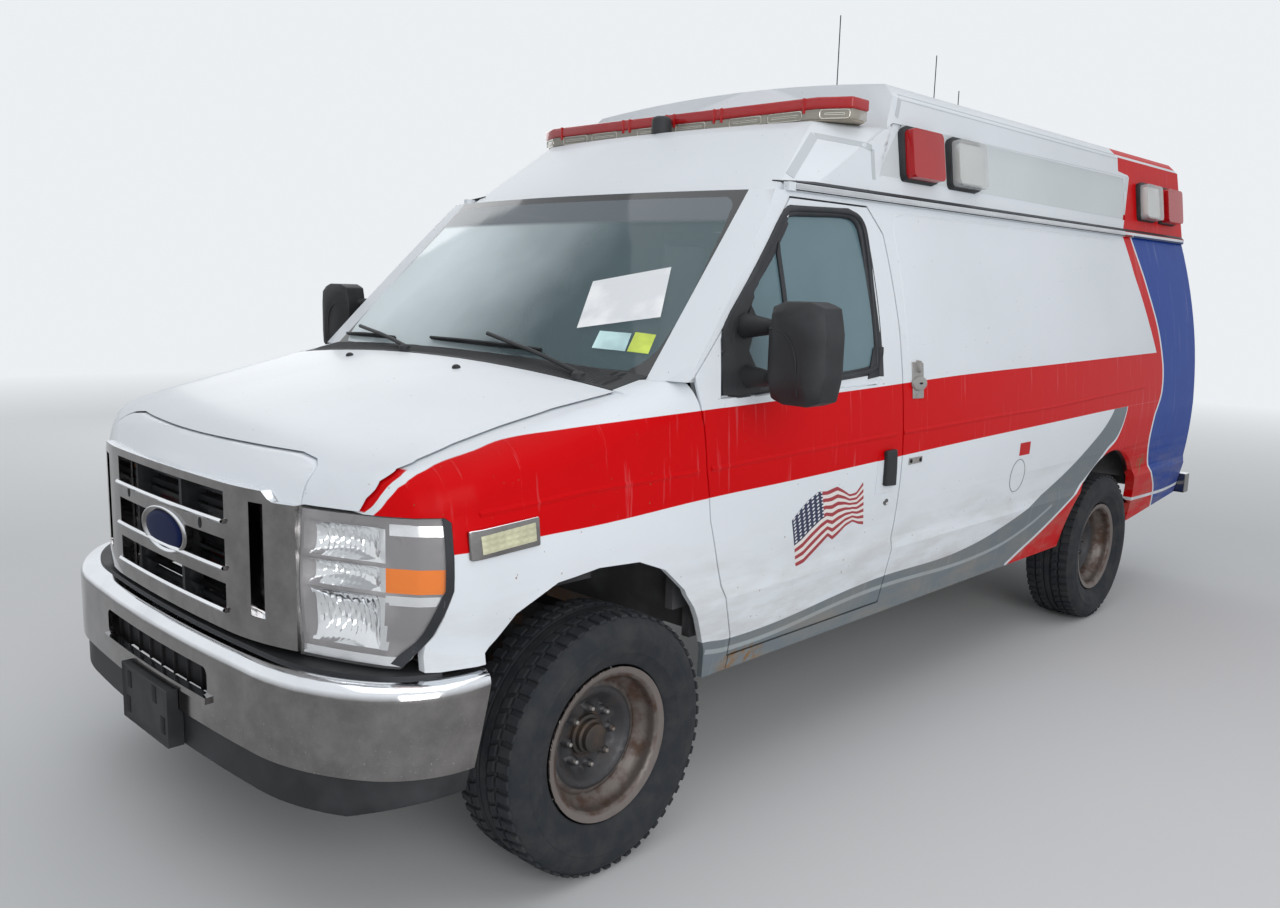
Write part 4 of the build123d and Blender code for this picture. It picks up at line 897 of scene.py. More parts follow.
def fillIntake():
    skin = skinOf("front_bumper")

    def behind(across, height):
        point = onFront(across, intakeSet["aim"], skin)[0]
        return Vector((point.x, point.y + intakeSet["back"], height)), Vector((0, -1, 0))
    half, height, tall = intakeSet["half"], intakeSet["height"], intakeSet["tall"] / 2
    ribHalf, ribFront, ribRear = intakeSet["rib"]
    parts = [strip("baffle", [(-half, height), (half, height)], intakeSet["tall"], 0.004, 24, 2, behind)]
    for rib in range(intakeSet["ribs"]):
        across = half * (2 * rib / (intakeSet["ribs"] - 1) - 1) * intakeSet["ribSpread"]
        y = behind(across, height)[0].y
        parts.append(block("rib", (across - ribHalf, y + ribFront, height - tall),
                           (across + ribHalf, y + ribRear, height + tall), 0.002))
    finishPiece(joined(parts, "intakeBaffle"), voidBlack)
    # painted shade: small black blocks on the bracket's face stand for its holes
    wide, tall = plateSet["hole"]
    face = plateSet["front"] + plateSet["depth"]
    front, rear = face - 0.0012, face + 0.0004
    holes = [block("plateHole", (x - wide, front, z - tall), (x + wide, rear, z + tall), 0.0004)
             for x, z in plateSet["holes"]]
    finishPiece(joined(holes, "plateHoles"), voidBlack)


# Headlamps: grey bezel with three silvered chambers, amber reflector and silver bands under a clear cover.
# Rows are heights, columns are angles (degrees) round the lamp's centre

lampSet = {"centre": (0.56, -2.37), "chamberSides": (15.4, 54.0), "foot": 0.712, "head": 1.0775,
           "bezelFoot": 0.735, "rowStep": 0.006, "front": [11.5, 13.4], "chamberColumns": 34, "tail": 14,
           "rear": [(0.70, 66.0), (0.795, 74.0), (0.905, 80.0), (1.20, 80.0)],
           "chambers": [(0.748, 0.884), (0.897, 0.957), (0.968, 1.050)], "chamberAcross": (0.634, 0.835),
           "skinGap": 0.009, "rimGap": 0.012, "bowl": 0.042, "flute": 0.003,
           "amber": (0.897, 0.957), "bands": [(0.866, 0.890), (1.036, 1.062)], "cornerX": 0.842,
           "trim": [(-0.519, 1.0795), (-0.5165, 1.060), (-0.517, 1.02), (-0.519, 0.907), (-0.558, 0.797),
                    (-0.605, 0.716)]}


def lampInside():
    skin = skinOf("headlamps")
    chambers, bands, tail = lampSet["chambers"], lampSet["bands"], lampSet["tail"]
    heights = sorted({lampSet["foot"], lampSet["head"], lampSet["bezelFoot"]}
                     | {z for pair in chambers + bands for z in pair})
    rows = [heights[0]]
    for low, high in zip(heights, heights[1:]):
        count = max(1, round((high - low) / lampSet["rowStep"]))
        rows += [low + (high - low) * k / count for k in range(1, count + 1)]
    first, last = lampSet["chamberSides"]
    count = lampSet["chamberColumns"]
    columns = lampSet["front"] + [first + (last - first) * k / count for k in range(count + 1)]

    def rear(height):
        for (lowZ, lowA), (highZ, highA) in zip(lampSet["rear"], lampSet["rear"][1:]):
            if height <= highZ:
                return lowA + (highA - lowA) * (height - lowZ) / (highZ - lowZ)

    def spot(u, v):
        i, height = round(u * (len(columns) + tail - 1)), rows[round(v * (len(rows) - 1))]
        beyond = (i - len(columns) + 1) / tail
        angle = columns[i] if i < len(columns) else last + (rear(height) - last) * beyond
        found = None
        while not found:
            heading = Vector((math.sin(math.radians(angle)), -math.cos(math.radians(angle)), 0))
            found = reach(skin, Vector((*lampSet["centre"], height)) + heading, -heading)
            angle += 0.02 * (40 - angle)  # an edge that misses the lamp moves in
        point, normal = found
        deep = lampSet["skinGap"]
        for low, high in chambers:
            if low - 1e-4 <= height <= high + 1e-4 and first - 0.01 <= angle <= last + 0.01:
                x, z = (angle - first) / (last - first), (height - low) / (high - low)
                bowl = max(0.0, math.sin(math.pi * x)) ** 0.45 * max(0.0, math.sin(math.pi * z)) ** 0.5
                flutes = lampSet["flute"] * math.sin(angle * 2.1 + 9 * z) * bowl
                deep = lampSet["rimGap"] + lampSet["bowl"] * bowl + flutes
        return point - normal * deep, normal

    obj = laid("lampInside", spot, len(columns) + tail - 1, len(rows) - 1, 0.0, 0.0)
    obj.data.materials.clear()
    for material in (lampBezel, reflector, silverBand, lampAmber):
        obj.data.materials.append(material)
    inner, outer = lampSet["chamberAcross"]
    for face in obj.data.polygons:
        x, z = face.center.x, face.center.z
        cornered = x > lampSet["cornerX"]
        if inner < x < outer and any(low < z < high for low, high in chambers):
            face.material_index = 1
        elif cornered and lampSet["amber"][0] < z < lampSet["amber"][1]:
            face.material_index = 3
        elif z < lampSet["bezelFoot"] or cornered and any(low < z < high for low, high in bands):
            face.material_index = 2
    for piece in (obj, mirrored(obj, "lampInside.right")):
        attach(piece, "root")
    trim = strip("lampRearTrim", lampSet["trim"], 0.020, 0.0012, 40, 1, lambda s, z: onSide(s, z, skin))
    bothSides(trim, trimRubber)


# Marker lamps on the wings: a lens of domed cells

markerSet = {"corners": [(-0.446, 0.989), (-0.290, 1.002), (-0.293, 1.048), (-0.449, 1.033)], "cells": (7, 3),
             "dome": 0.0035}


def markerLamp():
    find = sideFinder("fender_lamps")
    across, up = markerSet["cells"]

    def spot(u, v):
        point, normal = find(*between(markerSet["corners"], u, v))
        cellU, cellV = (u * across) % 1 - 0.5, (v * up) % 1 - 0.5
        return point + normal * markerSet["dome"] * max(0.0, 1 - 5.0 * (cellU ** 2 + cellV ** 2)), normal
    bothSides(laid("markerLens", spot, across * 6, up * 6, 0.0008), ledCream)


# Windscreen: wipers, cowl slats, nozzles and blank papers. Points are (off the middle, height or station)

wiperSet = {"driverWiper": {"pivot": (0.686, 0.124), "tip": (0.150, 1.446),
                            "blade": ((-0.150, 1.424), (0.420, 1.417))},
            "passengerWiper": {"pivot": (-0.199, 0.122), "tip": (-0.700, 1.430),
                               "blade": ((-0.800, 1.404), (-0.380, 1.412))}}
wiperHub = [(0, 0), (0, 0.021), (0.016, 0.019), (0.022, 0.012), (0.024, 0)]
slatSet = {"half": 0.800, "pitch": 0.0125, "front": 0.112, "search": (0.125, 0.40, 0.006), "margin": 0.010,
           "proud": 0.006, "flat": 0.0005}
nozzleSet = {"spots": [(-0.381, 0.016), (0.250, 0.012)],
             "outline": [(-0.002, 0), (-0.002, 0.013), (0.006, 0.011), (0.010, 0.006), (0.011, 0)]}
paperSet = {"paperSheet": (paperWhite, [(0.484, 1.494), (0.757, 1.539), (0.672, 1.690), (0.410, 1.639)]),
            "paleSticker": (paperBlue, [(0.594, 1.440), (0.718, 1.437), (0.698, 1.488), (0.579, 1.490)]),
            "greenSticker": (paperGreen, [(0.725, 1.437), (0.801, 1.434), (0.784, 1.488), (0.709, 1.492)])}
glassSkin = skinOf("windshield")


def onGlass(across, height):
    return onFront(across, height, glassSkin)


def wiper(name, spec):
    foot = onTop(*spec["pivot"], skinOf("cowl_grille", "hood"))[0]
    tip, tipUp = onGlass(*spec["tip"])
    tip = tip + tipUp * 0.022
    line = [onGlass(*[a + (b - a) * k / 8 for a, b in zip(*spec["blade"])]) for k in range(9)]
    arm = [foot + Vector((0, 0, 0.014)), foot.lerp(tip, 0.35) + Vector((0, -0.012, 0.020)),
           foot.lerp(tip, 0.7) + Vector((0, -0.01, 0.01)), tip]
    parts = [boss(name + "Hub", foot - Vector((0, 0, 0.004)), (0, 0, 1), wiperHub, 20),
             tube(name + "Arm", arm, 0.0072, 8, curved=True),
             tube(name + "Blade", [point + normal * 0.007 for point, normal in line], 0.0045, 6),
             tube(name + "Bridge", [point + normal * (0.013 + 0.007 * math.sin(math.pi * k / 8))
                                    for k, (point, normal) in enumerate(line)], 0.005, 6)]
    finishPiece(joined(parts, name), blackPlastic)


def cowlSlats():
    cowl = skinOf("cowl_grille")
    half, margin = slatSet["half"], slatSet["margin"]
    start, stop, step = slatSet["search"]
    count = int(2 * half / slatSet["pitch"])
    ends = {}

    def rearEnd(across):
        # the cowl runs back until the glass lies over it
        station = start
        while station < stop:
            here, glassHere = onTop(across, station, cowl), onTop(across, station, glassSkin)
            if here is None or (glassHere and glassHere[0].z > here[0].z):
                break
            station += step
        return max(start, station - margin)

    def spot(u, v):
        across = -half + 2 * half * u
        if across not in ends:
            ends[across] = rearEnd(across)
        front = slatSet["front"]
        point, normal = onTop(across, front + (ends[across] - front) * v, cowl)
        raised = round(u * count * 4) % 4 in (1, 2) and 0.0 < v < 1.0
        return point + normal * (slatSet["proud"] if raised else slatSet["flat"]), normal
    finishPiece(laid("cowlSlats", spot, count * 4, 6, 0.0, 0.0), blackPlastic)


def onWindscreen():
    for name, spec in wiperSet.items():
        wiper(name, spec)
    cowlSlats()
    hood = skinOf("hood")
    for number, (across, station) in enumerate(nozzleSet["spots"]):
        point, normal = onTop(across, station, hood)
        nozzle = boss(f"washerNozzle{number}", point, normal, nozzleSet["outline"], 14, (1.3, 1, 1))
        finishPiece(nozzle, blackPlastic, "hood_body")
    for name, (material, corners) in paperSet.items():
        finishPiece(quad(name, corners, 6, 4, 0.0005, onGlass), material)


# Front doors: window rubbers and trim, divider, handle, lock and crease, as (station, height)

doorSet = {"seal": [(0.437, 1.44), (0.446, 1.52), (0.490, 1.562), (0.588, 1.655), (0.712, 1.760),
                    (0.820, 1.868), (0.862, 1.888), (0.964, 1.891), (1.210, 1.900), (1.268, 1.880),
                    (1.287, 1.828), (1.290, 1.595), (1.288, 1.390), (1.262, 1.358), (0.900, 1.338),
                    (0.520, 1.321), (0.460, 1.324), (0.440, 1.36)],
           "post": [(0.500, 1.532), (0.608, 1.637), (0.732, 1.742), (0.844, 1.852)],
           "sill": [(0.432, 1.301), (0.900, 1.317), (1.292, 1.334)], "innerX": 0.82,
           "divider": [(0.775, 1.332), (0.775, 1.800)],
           "cap": [(1.215, 1.333), (1.300, 1.340), (1.304, 1.442), (1.262, 1.440)],
           "handle": [(1.302, 0.955), (1.372, 0.950), (1.362, 1.082), (1.298, 1.080)],
           "cup": [(1.262, 0.926), (1.386, 0.926), (1.386, 1.062), (1.264, 1.062)],
           "lock": (1.343, 0.890),
           "lockOutline": [(-0.001, 0), (-0.001, 0.0135), (0.003, 0.0125), (0.0035, 0.009), (0.002, 0.008),
                           (0.002, 0)],
           "crease": [(0.365, 1.1125), (0.811, 1.123), (1.385, 1.1325)]}
creaseWide, creaseProud = 0.018, 0.0035


def dressDoor():
    find = sideFinder("front_door_left", "front_door_glass_left")
    points = []
    for point, normal in (find(*spot) for spot in doorSet["seal"]):
        points.append(Vector((max(point.x, doorSet["innerX"]), point.y, point.z)) + normal * 0.001)
    onDoor(tube("windowRubber", points, 0.0105, 8, closed=True, curved=True), trimRubber)
    centre = sum(points, Vector()) / len(points)
    inner = [point + (centre - point).normalized() * 0.014 - Vector((0.010, 0, 0)) for point in points]
    onDoor(tube("windowReveal", inner, 0.012, 8, closed=True, curved=True), trimRubber)
    loop = doorSet["seal"] + doorSet["seal"][:1]
    onDoor(strip("windowBand", loop, 0.022, 0.0018, 120, 1, find), trimRubber)
    onDoor(strip("windowPost", doorSet["post"], 0.040, 0.003, 40, 12, find), trimRubber)
    onDoor(strip("windowSill", doorSet["sill"], 0.036, 0.0015, 80, 12, find), paint)
    onDoor(rounded(quad("windowCap", doorSet["cap"], 6, 6, 0.006, find), 0.002), trimRubber)
    onPane = sideFinder("front_door_glass_left")
    onDoor(strip("windowDivider", doorSet["divider"], 0.020, 0.006, 8, 1, onPane), trimRubber)
    onDoor(rounded(quad("handleCup", doorSet["cup"], 10, 10, 0.0022, find), 0.0012), paint)
    onDoor(rounded(quad("handlePaddle", doorSet["handle"], 4, 6, 0.020, find), 0.006, 3), blackPlastic)
    onDoor(boss("doorLock", *find(*doorSet["lock"]), doorSet["lockOutline"], 24, (1, 1.15, 1)), chrome)
    onDoor(strip("doorCrease", doorSet["crease"], creaseWide, 0.0, 30, 2, find, creaseProud), paint)


# Wings and left side panel: creases, flap latch, small fitting, fuel door and sticker

panelSet = {"wingCrease": [(-0.440, 1.083), (-0.305, 1.090), (-0.120, 1.104), (0.310, 1.1115)],
            "panelCrease": [(1.425, 1.133), (2.190, 1.143), (2.702, 1.147), (3.845, 1.181)],
            "pressed": [(1.476, 1.420), (1.480, 1.860), (1.507, 1.903), (1.577, 1.916), (3.640, 1.920)],
            "latch": [(1.490, 1.252), (1.566, 1.250), (1.572, 1.378), (1.494, 1.384)],
            "drop": (1.531, 1.305),
            "dropOutline": [(0, 0), (0, 0.026), (0.008, 0.025), (0.011, 0.018), (0.011, 0)],
            "hinge": (1.531, 1.366),
            "hingeOutline": [(0, 0), (0, 0.014), (0.014, 0.012), (0.017, 0.006), (0.017, 0)],
            "slotOutline": [(0, 0), (0, 0.004), (0.001, 0.004), (0.001, 0)],
            "fitting": [(1.474, 1.012), (1.566, 1.014), (1.567, 1.036), (1.475, 1.036)],
            "bolts": [(1.486, 1.025), (1.553, 1.025)],
            "boltOutline": [(0, 0), (0, 0.008), (0.003, 0.007), (0.004, 0)],
            "fuelDoor": (2.412, 0.868, 0.068),
            "redSticker": [(2.40, 0.955), (2.50, 0.955), (2.50, 1.010), (2.40, 1.010)]}


def dressPanels():
    wing = sideFinder("front_fenders", "front_door_left", "side_panel_left", "raised_roof")
    bothSides(strip("wingCrease", panelSet["wingCrease"], creaseWide, 0.0, 30, 2, wing, creaseProud), paint)
    find = sideFinder("side_panel_left")
    crease = strip("panelCrease", panelSet["panelCrease"], creaseWide, 0.0, 60, 2, find, creaseProud)
    finishPiece(crease, paint)
    finishPiece(strip("pressedEdge", panelSet["pressed"], 0.010, 0.0, 80, 2, find, 0.0022), paint)

    def stood(name, spot, key, lift, steps, stretch=(1, 1, 1)):
        point, normal = find(*spot)
        return boss(name, point + normal * lift, normal, panelSet[key], steps, stretch)
    latch = rounded(quad("latchPlate", panelSet["latch"], 4, 6, 0.004, find), 0.0015)
    drop = stood("latchDrop", panelSet["drop"], "dropOutline", 0.004, 24, (1.0, 1.9, 1.0))
    hinge = stood("latchHinge", panelSet["hinge"], "hingeOutline", 0.003, 16, (1.7, 1, 1))
    # painted shade: a thin stretched black disc stands for the slot in the latch's drop
    slot = stood("latchSlot", panelSet["drop"], "slotOutline", 0.0148, 12, (1, 3.2, 1))
    finishPiece(joined([latch, drop, hinge], "flapLatch"), bareSteel)
    finishPiece(slot, voidBlack)
    finishPiece(quad("smallFitting", panelSet["fitting"], 4, 2, 0.003, find), bareSteel)
    for number, spot in enumerate(panelSet["bolts"]):
        finishPiece(stood(f"fittingBolt{number}", spot, "boltOutline", 0.003, 10), voidBlack)
    station, height, radius = panelSet["fuelDoor"]
    ring = [find(station + s, height + z) for s, z in circle(radius, squash=1.05)]
    gapLine = [point + normal * 0.0002 for point, normal in ring]
    finishPiece(tube("fuelDoorGap", gapLine, 0.0022, 6, closed=True), seamGrey)
    finishPiece(quad("redSticker", panelSet["redSticker"], 4, 3, 0.0004, find), stickerRed)


dressGrille()
fillIntake()
lampInside()
markerLamp()
onWindscreen()
dressDoor()
dressPanels()
print("front and side details made")


# Light bar: two lenses over a tray and a core, lamp modules round it, clips, and the CAD bar's feet

barSet = {"half": 0.810, "front": 1.219, "deep": 0.250, "taperX": 0.115, "taperFront": 0.055,
          "taperRear": 0.095, "foot": 2.216, "split": 2.256, "head": 2.296, "wide": 0.150, "narrow": 0.105,
          "modules": [0.105, 0.375, 0.555], "moduleIn": 0.0035, "cornerIn": (0.002, 0.004),
          "clips": [0.020, 0.225, 0.262, 0.640], "clip": (0.0045, 0.0015, 0.012), "clipHook": 0.012}


def barOutline(inset, height):
    half, front = barSet["half"] - inset, barSet["front"] - frontAxle + inset
    rear = barSet["front"] - frontAxle + barSet["deep"] - inset
    inner = half - barSet["taperX"]
    side = [(inner, front), (half, front + barSet["taperFront"]), (half, rear - barSet["taperRear"]),
            (inner, rear)]
    return [(x, y, height) for x, y in side] + [(-x, y, height) for x, y in reversed(side)]


def roundedLoop(wide, tall, corner, turns=4):
    points = []
    for quarter, (right, up) in enumerate(((1, 1), (-1, 1), (-1, -1), (1, -1))):
        for k in range(turns + 1):
            turn = (quarter + k / turns) * math.pi / 2
            points.append(((wide / 2 - corner) * right + corner * math.cos(turn), 0,
                           (tall / 2 - corner) * up + corner * math.sin(turn)))
    return points


def barModule(name, wide):
    outer = tube(name, roundedLoop(wide, 0.030, 0.011), 0.0018, 6, closed=True)
    slot = tube(name + "Slot", roundedLoop(wide - 0.036, 0.006, 0.0028), 0.0012, 6, closed=True)
    return joined([outer, slot], name)


def lightBar():
    foot, split, head = barSet["foot"], barSet["split"], barSet["head"]
    lower = plate("barLowerLens", barOutline(0.004, foot + 0.006), (0, 0, split - foot - 0.006), 0.003)
    finishPiece(lower, barClear)
    upper = plate("barUpperLens", barOutline(0.0, split), (0, 0, head - split), 0.007, 3)
    finishPiece(upper, barRed)
    finishPiece(plate("barTray", barOutline(0.010, foot), (0, 0, 0.007), 0.002), barTan)
    finishPiece(plate("barCore", barOutline(0.022, foot + 0.008), (0, 0, 0.048), 0.002), barTan)
    feet = merged(nodeCopy("lightbar", "barFeet"))
    editAll(feet)
    bpy.ops.mesh.bisect(plane_co=(0, 0, foot - 0.0005), plane_no=(0, 0, 1), use_fill=True, clear_outer=True)
    done()
    finishPiece(smooth(rounded(feet, 0.004)), blackPlastic, replaces=("lightbar",))

    frontY, rearY = barSet["front"] - frontAxle, barSet["front"] + barSet["deep"] - frontAxle
    middle = (foot + split) / 2 + 0.002
    long, short = (barModule("module", barSet[key]) for key in ("wide", "narrow"))
    parts = [copyOf(long, (side * centre, y, middle)) for centre in barSet["modules"] for side in (1, -1)
             for y in (frontY + barSet["moduleIn"], rearY - barSet["moduleIn"])]
    lean = math.atan2(barSet["taperFront"], barSet["taperX"])
    inX, inY = barSet["cornerIn"]
    cornerX = barSet["half"] - barSet["taperX"] / 2 - inX
    cornerY = frontY + barSet["taperFront"] / 2 + inY
    for side in (1, -1):
        turn = Matrix.Rotation(side * lean, 4, 'Z')
        parts.append(copyOf(short, (side * cornerX, cornerY, middle), turn))
    for shape in (long, short):
        bpy.data.objects.remove(shape)
    finishPiece(joined(parts, "barModules"), barFrame)
    wide, deep, down = barSet["clip"]
    rear, head = deep + barSet["clipHook"], head + 0.0005
    clips = [block("clip", (x - wide, y - deep, split - down), (x + wide, y + rear, head), 0.001)
             for across in barSet["clips"] for x in (across, -across) for y in (frontY, rearY)]
    finishPiece(joined(clips, "barClips"), lensRed)


# Warning lamps on the roof's sides: a grown, flattened copy is the bezel and a shrunk one the core.
# The sides lean in by lean metres a metre

roofLampSet = {"stations": {"warning_lamps_red": (1.70, 4.37), "warning_lamps_clear": (2.05, 4.06)},
               "height": 2.130, "lean": 0.118, "bezel": (1.09, 0.42), "core": (0.86, 0.80)}


def roofLamp(node, stations, part, material):
    grow, depth = roofLampSet[part.lower()]
    height, lean = roofLampSet["height"], roofLampSet["lean"]
    obj = nodeCopy(node, node + part)
    for vertex in obj.data.vertices:
        middle = min((station - frontAxle for station in stations), key=lambda y: abs(y - vertex.co.y))
        vertex.co.y = middle + (vertex.co.y - middle) * grow
        vertex.co.z = height + (vertex.co.z - height) * grow
    foot = min(abs(vertex.co.x) + lean * (vertex.co.z - height) for vertex in obj.data.vertices)
    for vertex in obj.data.vertices:
        side, off = math.copysign(1, vertex.co.x), lean * (vertex.co.z - height)
        vertex.co.x = side * (foot + (side * vertex.co.x + off - foot) * depth - off)
    finishPiece(smooth(rounded(merged(obj), 0.003)), material)


def roofLamps():
    for node, stations in roofLampSet["stations"].items():
        roofLamp(node, stations, "Bezel", blackPlastic)
        roofLamp(node, stations, "Core", redCore if "red" in node else clearCore)


# Roof sides: recessed panel as a flat sheet whose grey is painted shade, tape seams, gutter lines; radome on
# the cap

roofSet = {"recess": [(1.425, 2.045), (3.752, 2.034), (3.838, 2.250), (1.598, 2.240)],
           "tape": {"capSeam": [(0.952, 2.000), (1.172, 2.160)],
                    "plateHead": [(1.176, 2.157), (1.382, 2.132)],
                    "plateRear": [(1.385, 2.128), (1.385, 2.024)],
                    "humpFront": [(1.560, 2.262), (1.590, 2.330)],
                    "humpHead": [(1.594, 2.338), (3.690, 2.338)]},
           "tapeWide": 0.022, "gutterEnds": (0.90, 4.61), "radomeStation": 1.172,
           "radome": [(2.2135, 0), (2.2135, 0.0398), (2.266, 0.0385), (2.276, 0.034), (2.2815, 0.024),
                      (2.283, 0)]}
gutters = [("gutterDark", 1.9755, 0.010, 0.004, trimRubber),
           ("gutterSilver", 1.9610, 0.013, 0.003, gutterSilver),
           ("gutterFoot", 1.9475, 0.006, 0.002, trimRubber)]  # height, width and how far it stands out


def dressRoof():
    find = sideFinder("raised_roof")
    bothSides(quad("recessPanel", roofSet["recess"], 60, 6, 0.0006, find), recessShadeGrey)
    for name, line in roofSet["tape"].items():
        bothSides(strip(name + "Tape", line, roofSet["tapeWide"], 0.0012, 40, 1, find), tapeGrey)
    for name, height, wide, proud, material in gutters:
        line = [(station, height) for station in roofSet["gutterEnds"]]
        bothSides(strip(name, line, wide, proud, 60, 1, find), material)
    radome = lathe("radomeShell", roofSet["radome"], 'Z', (0, roofSet["radomeStation"] - frontAxle, 0), 40)
    finishPiece(radome, blackPlastic, replaces=("roof_antenna",))


# Tyres: sidewall rings, a ribbed crown and two rows of lugs on each side, in one mesh each

treadBase = 0.364
tyreSet = {"radius": 0.373, "halfWidth": 0.1225, "lugs": 56, "shoulder": 0.1, "taper": 0.8, "skew": 0.35,
           "side": [(0.086, 0.2300), (0.092, 0.226), (0.104, 0.240), (0.1135, 0.262), (0.1155, 0.264),
                    (0.1190, 0.287), (0.1225, 0.296), (0.1225, 0.305), (0.1205, 0.308), (0.1200, 0.325),
                    (0.1165, 0.338), (0.1125, 0.344), (0.106, 0.352), (0.0985, treadBase - 0.003),
                    (0.062, treadBase), (0.060, treadBase - 0.006), (0.055, treadBase - 0.006),
                    (0.053, treadBase + 0.0015), (0.021, treadBase + 0.002), (0.019, treadBase - 0.006),
                    (0.013, treadBase - 0.006), (0.011, treadBase + 0.002)],
           # inner and outer edge, foot, drop at the shoulder, half length, turn in shares of a lug
           "rows": [(0.062, 0.1035, treadBase - 0.004, 0.004, 0.0135, 0.0),
                    (0.026, 0.051, treadBase - 0.002, 0.0, 0.015, 0.5)]}


def tyreAt(node):
    low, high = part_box(node)
    centre = Vector([(a + b) / 2 for a, b in zip(low, high)])
    scale = (high[0] - low[0]) / 2 / tyreSet["halfWidth"]
    radius, side = tyreSet["radius"], tyreSet["side"]
    outline = [(-x * scale, r) for x, r in side] + [(x * scale, r) for x, r in reversed(side)]
    parts = [lathe("tyreBody", outline, 'X', centre, 96, 30)]
    turn = fullTurn / tyreSet["lugs"]
    for way in (1, -1):
        for inner, outer, foot, drop, deep, shift in tyreSet["rows"]:
            left, right = sorted((way * inner * scale, way * outer * scale))
            lug = block("lug", (left, -deep, foot), (right, deep, radius))
            for vertex in lug.data.vertices:
                if abs(vertex.co.x) > tyreSet["shoulder"] * scale and vertex.co.z > foot + 0.002:
                    vertex.co.z -= drop
                    vertex.co.y *= tyreSet["taper"]
                if not drop:
                    vertex.co.y += vertex.co.x * tyreSet["skew"]
                vertex.co.z = min(vertex.co.z, math.sqrt(radius ** 2 - vertex.co.y ** 2))
            rounded(lug, 0.0016, 1)
            lug.data.transform(Matrix.Rotation(turn * (shift + (0.5 if way < 0 else 0)), 4, 'X'))
            editAll(lug)
            bpy.ops.mesh.spin(steps=tyreSet["lugs"] - 1, angle=fullTurn - turn, dupli=True, center=(0, 0, 0),
                              axis=(1, 0, 0))
            done()
            lug.data.transform(Matrix.Translation(centre))
            parts.append(smooth(lug, 30))
    finishPiece(joined(parts, node + ".tread"), tyreRubber, bodyOf[node], (node,))


# Front wheels: a stepped hub cap and the tips of eight studs

hubSet = {"outline": [(-0.004, 0), (-0.004, 0.060), (0.010, 0.058), (0.013, 0.050), (0.026, 0.049),
                      (0.030, 0.042), (0.044, 0.040), (0.048, 0.030), (0.048, 0)],
          "tip": [(-0.001, 0), (-0.001, 0.006), (0.009, 0.006), (0.011, 0.004), (0.011, 0)],
          "circle": 0.0825, "studs": 8}


def dressHub(node):
    low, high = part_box(node)
    side = 1 if low[0] > 0 else -1
    skin = skinOf(node, node.replace("wheel_front", "knuckle"))
    y, z = (low[1] + high[1]) / 2, (low[2] + high[2]) / 2

    def stood(name, dy, dz, outline, steps):
        point = reach(skin, (side * 1.5, y + dy, z + dz), (-side, 0, 0))[0]
        return boss(name, point, (side, 0, 0), outline, steps)
    finishPiece(stood(node + ".hub", 0, 0, hubSet["outline"], 32), wheelSteel, bodyOf[node])
    tips = [stood("tip", dy, dz, hubSet["tip"], 10) for dy, dz in circle(hubSet["circle"], hubSet["studs"])]
    finishPiece(joined(tips, node + ".tips"), bareSteel, bodyOf[node])


# Mirrors: a lobed head with its two panes at the back, two arms and the patch in the window's corner

mirrorSet = {"low": (1.118, 0.414 - frontAxle, 1.312), "high": (1.318, 0.534 - frontAxle, 1.600),
             "arms": (1.372, 1.522), "root": (0.972, 0.546 - frontAxle), "armEnd": 1.160,
             "cuff": [(-0.02, 0.0), (-0.02, 0.040), (0.030, 0.031), (0.075, 0.0235), (0.080, 0.021),
                      (0.080, 0.0)],
             "ridge": [(-0.93, 0.46), (-0.55, 0.46), (-0.20, 0.38), (0.06, 0.18), (0.18, -0.10),
                       (0.20, -0.45), (0.19, -0.80)],
             # side margin, foot and head of each pane
             "panes": {"pane": (0.018, 1.372, 1.582), "spotPane": (0.022, 1.328, 1.360)},
             "paneDepth": (-0.002, -0.0003),
             "patch": [(0.426, 1.320), (0.426, 1.400), (0.436, 1.500), (0.478, 1.556), (0.580, 1.650),
                       (0.594, 1.650), (0.590, 1.585), (0.612, 1.545), (0.585, 1.490), (0.560, 1.445),
                       (0.585, 1.400), (0.612, 1.352), (0.600, 1.322), (0.520, 1.316)], "patchThick": 0.013}


def mirrorHead(low, high):
    head = block("head", low, high)
    editAll(head)
    bpy.ops.mesh.subdivide(number_cuts=9)
    done()
    middle, size = (low + high) / 2, (high - low) / 2
    for vertex in head.data.vertices:
        x, y, z = [(vertex.co[n] - middle[n]) / size[n] for n in range(3)]
        if y < 0:  # the front bulges, higher on its outer lobe, with a soft fall to its rim
            lobe = 0.16 * min(1.0, max(0.0, 6 * (math.hypot(x + 1.0, z + 0.55) - 1.25)))
            fall = 1 - 0.55 * max(abs(x) ** 3.0, abs(z) ** 4.0)
            vertex.co.y = middle.y + y * size.y * (0.86 + lobe) * fall
        rim = max(0.0, abs(x) - 0.40) * max(0.0, abs(z) - 0.40)
        vertex.co.x = middle.x + x * size.x * (1 - 0.42 * rim)
        vertex.co.z = middle.z + z * size.z * (1 - 0.30 * rim)
    smooth(rounded(head, 0.006, 3, 30), 60)
    shell = BVHTree.FromPolygons([v.co for v in head.data.vertices], [p.vertices for p in head.data.polygons])
    ridge = [reach([shell], (middle.x + x * size.x, low.y - 0.1, middle.z + z * size.z), (0, 1, 0))[0]
             for x, z in mirrorSet["ridge"]]
    return [head, tube("ridge", ridge, 0.0032, 8, curved=True)]


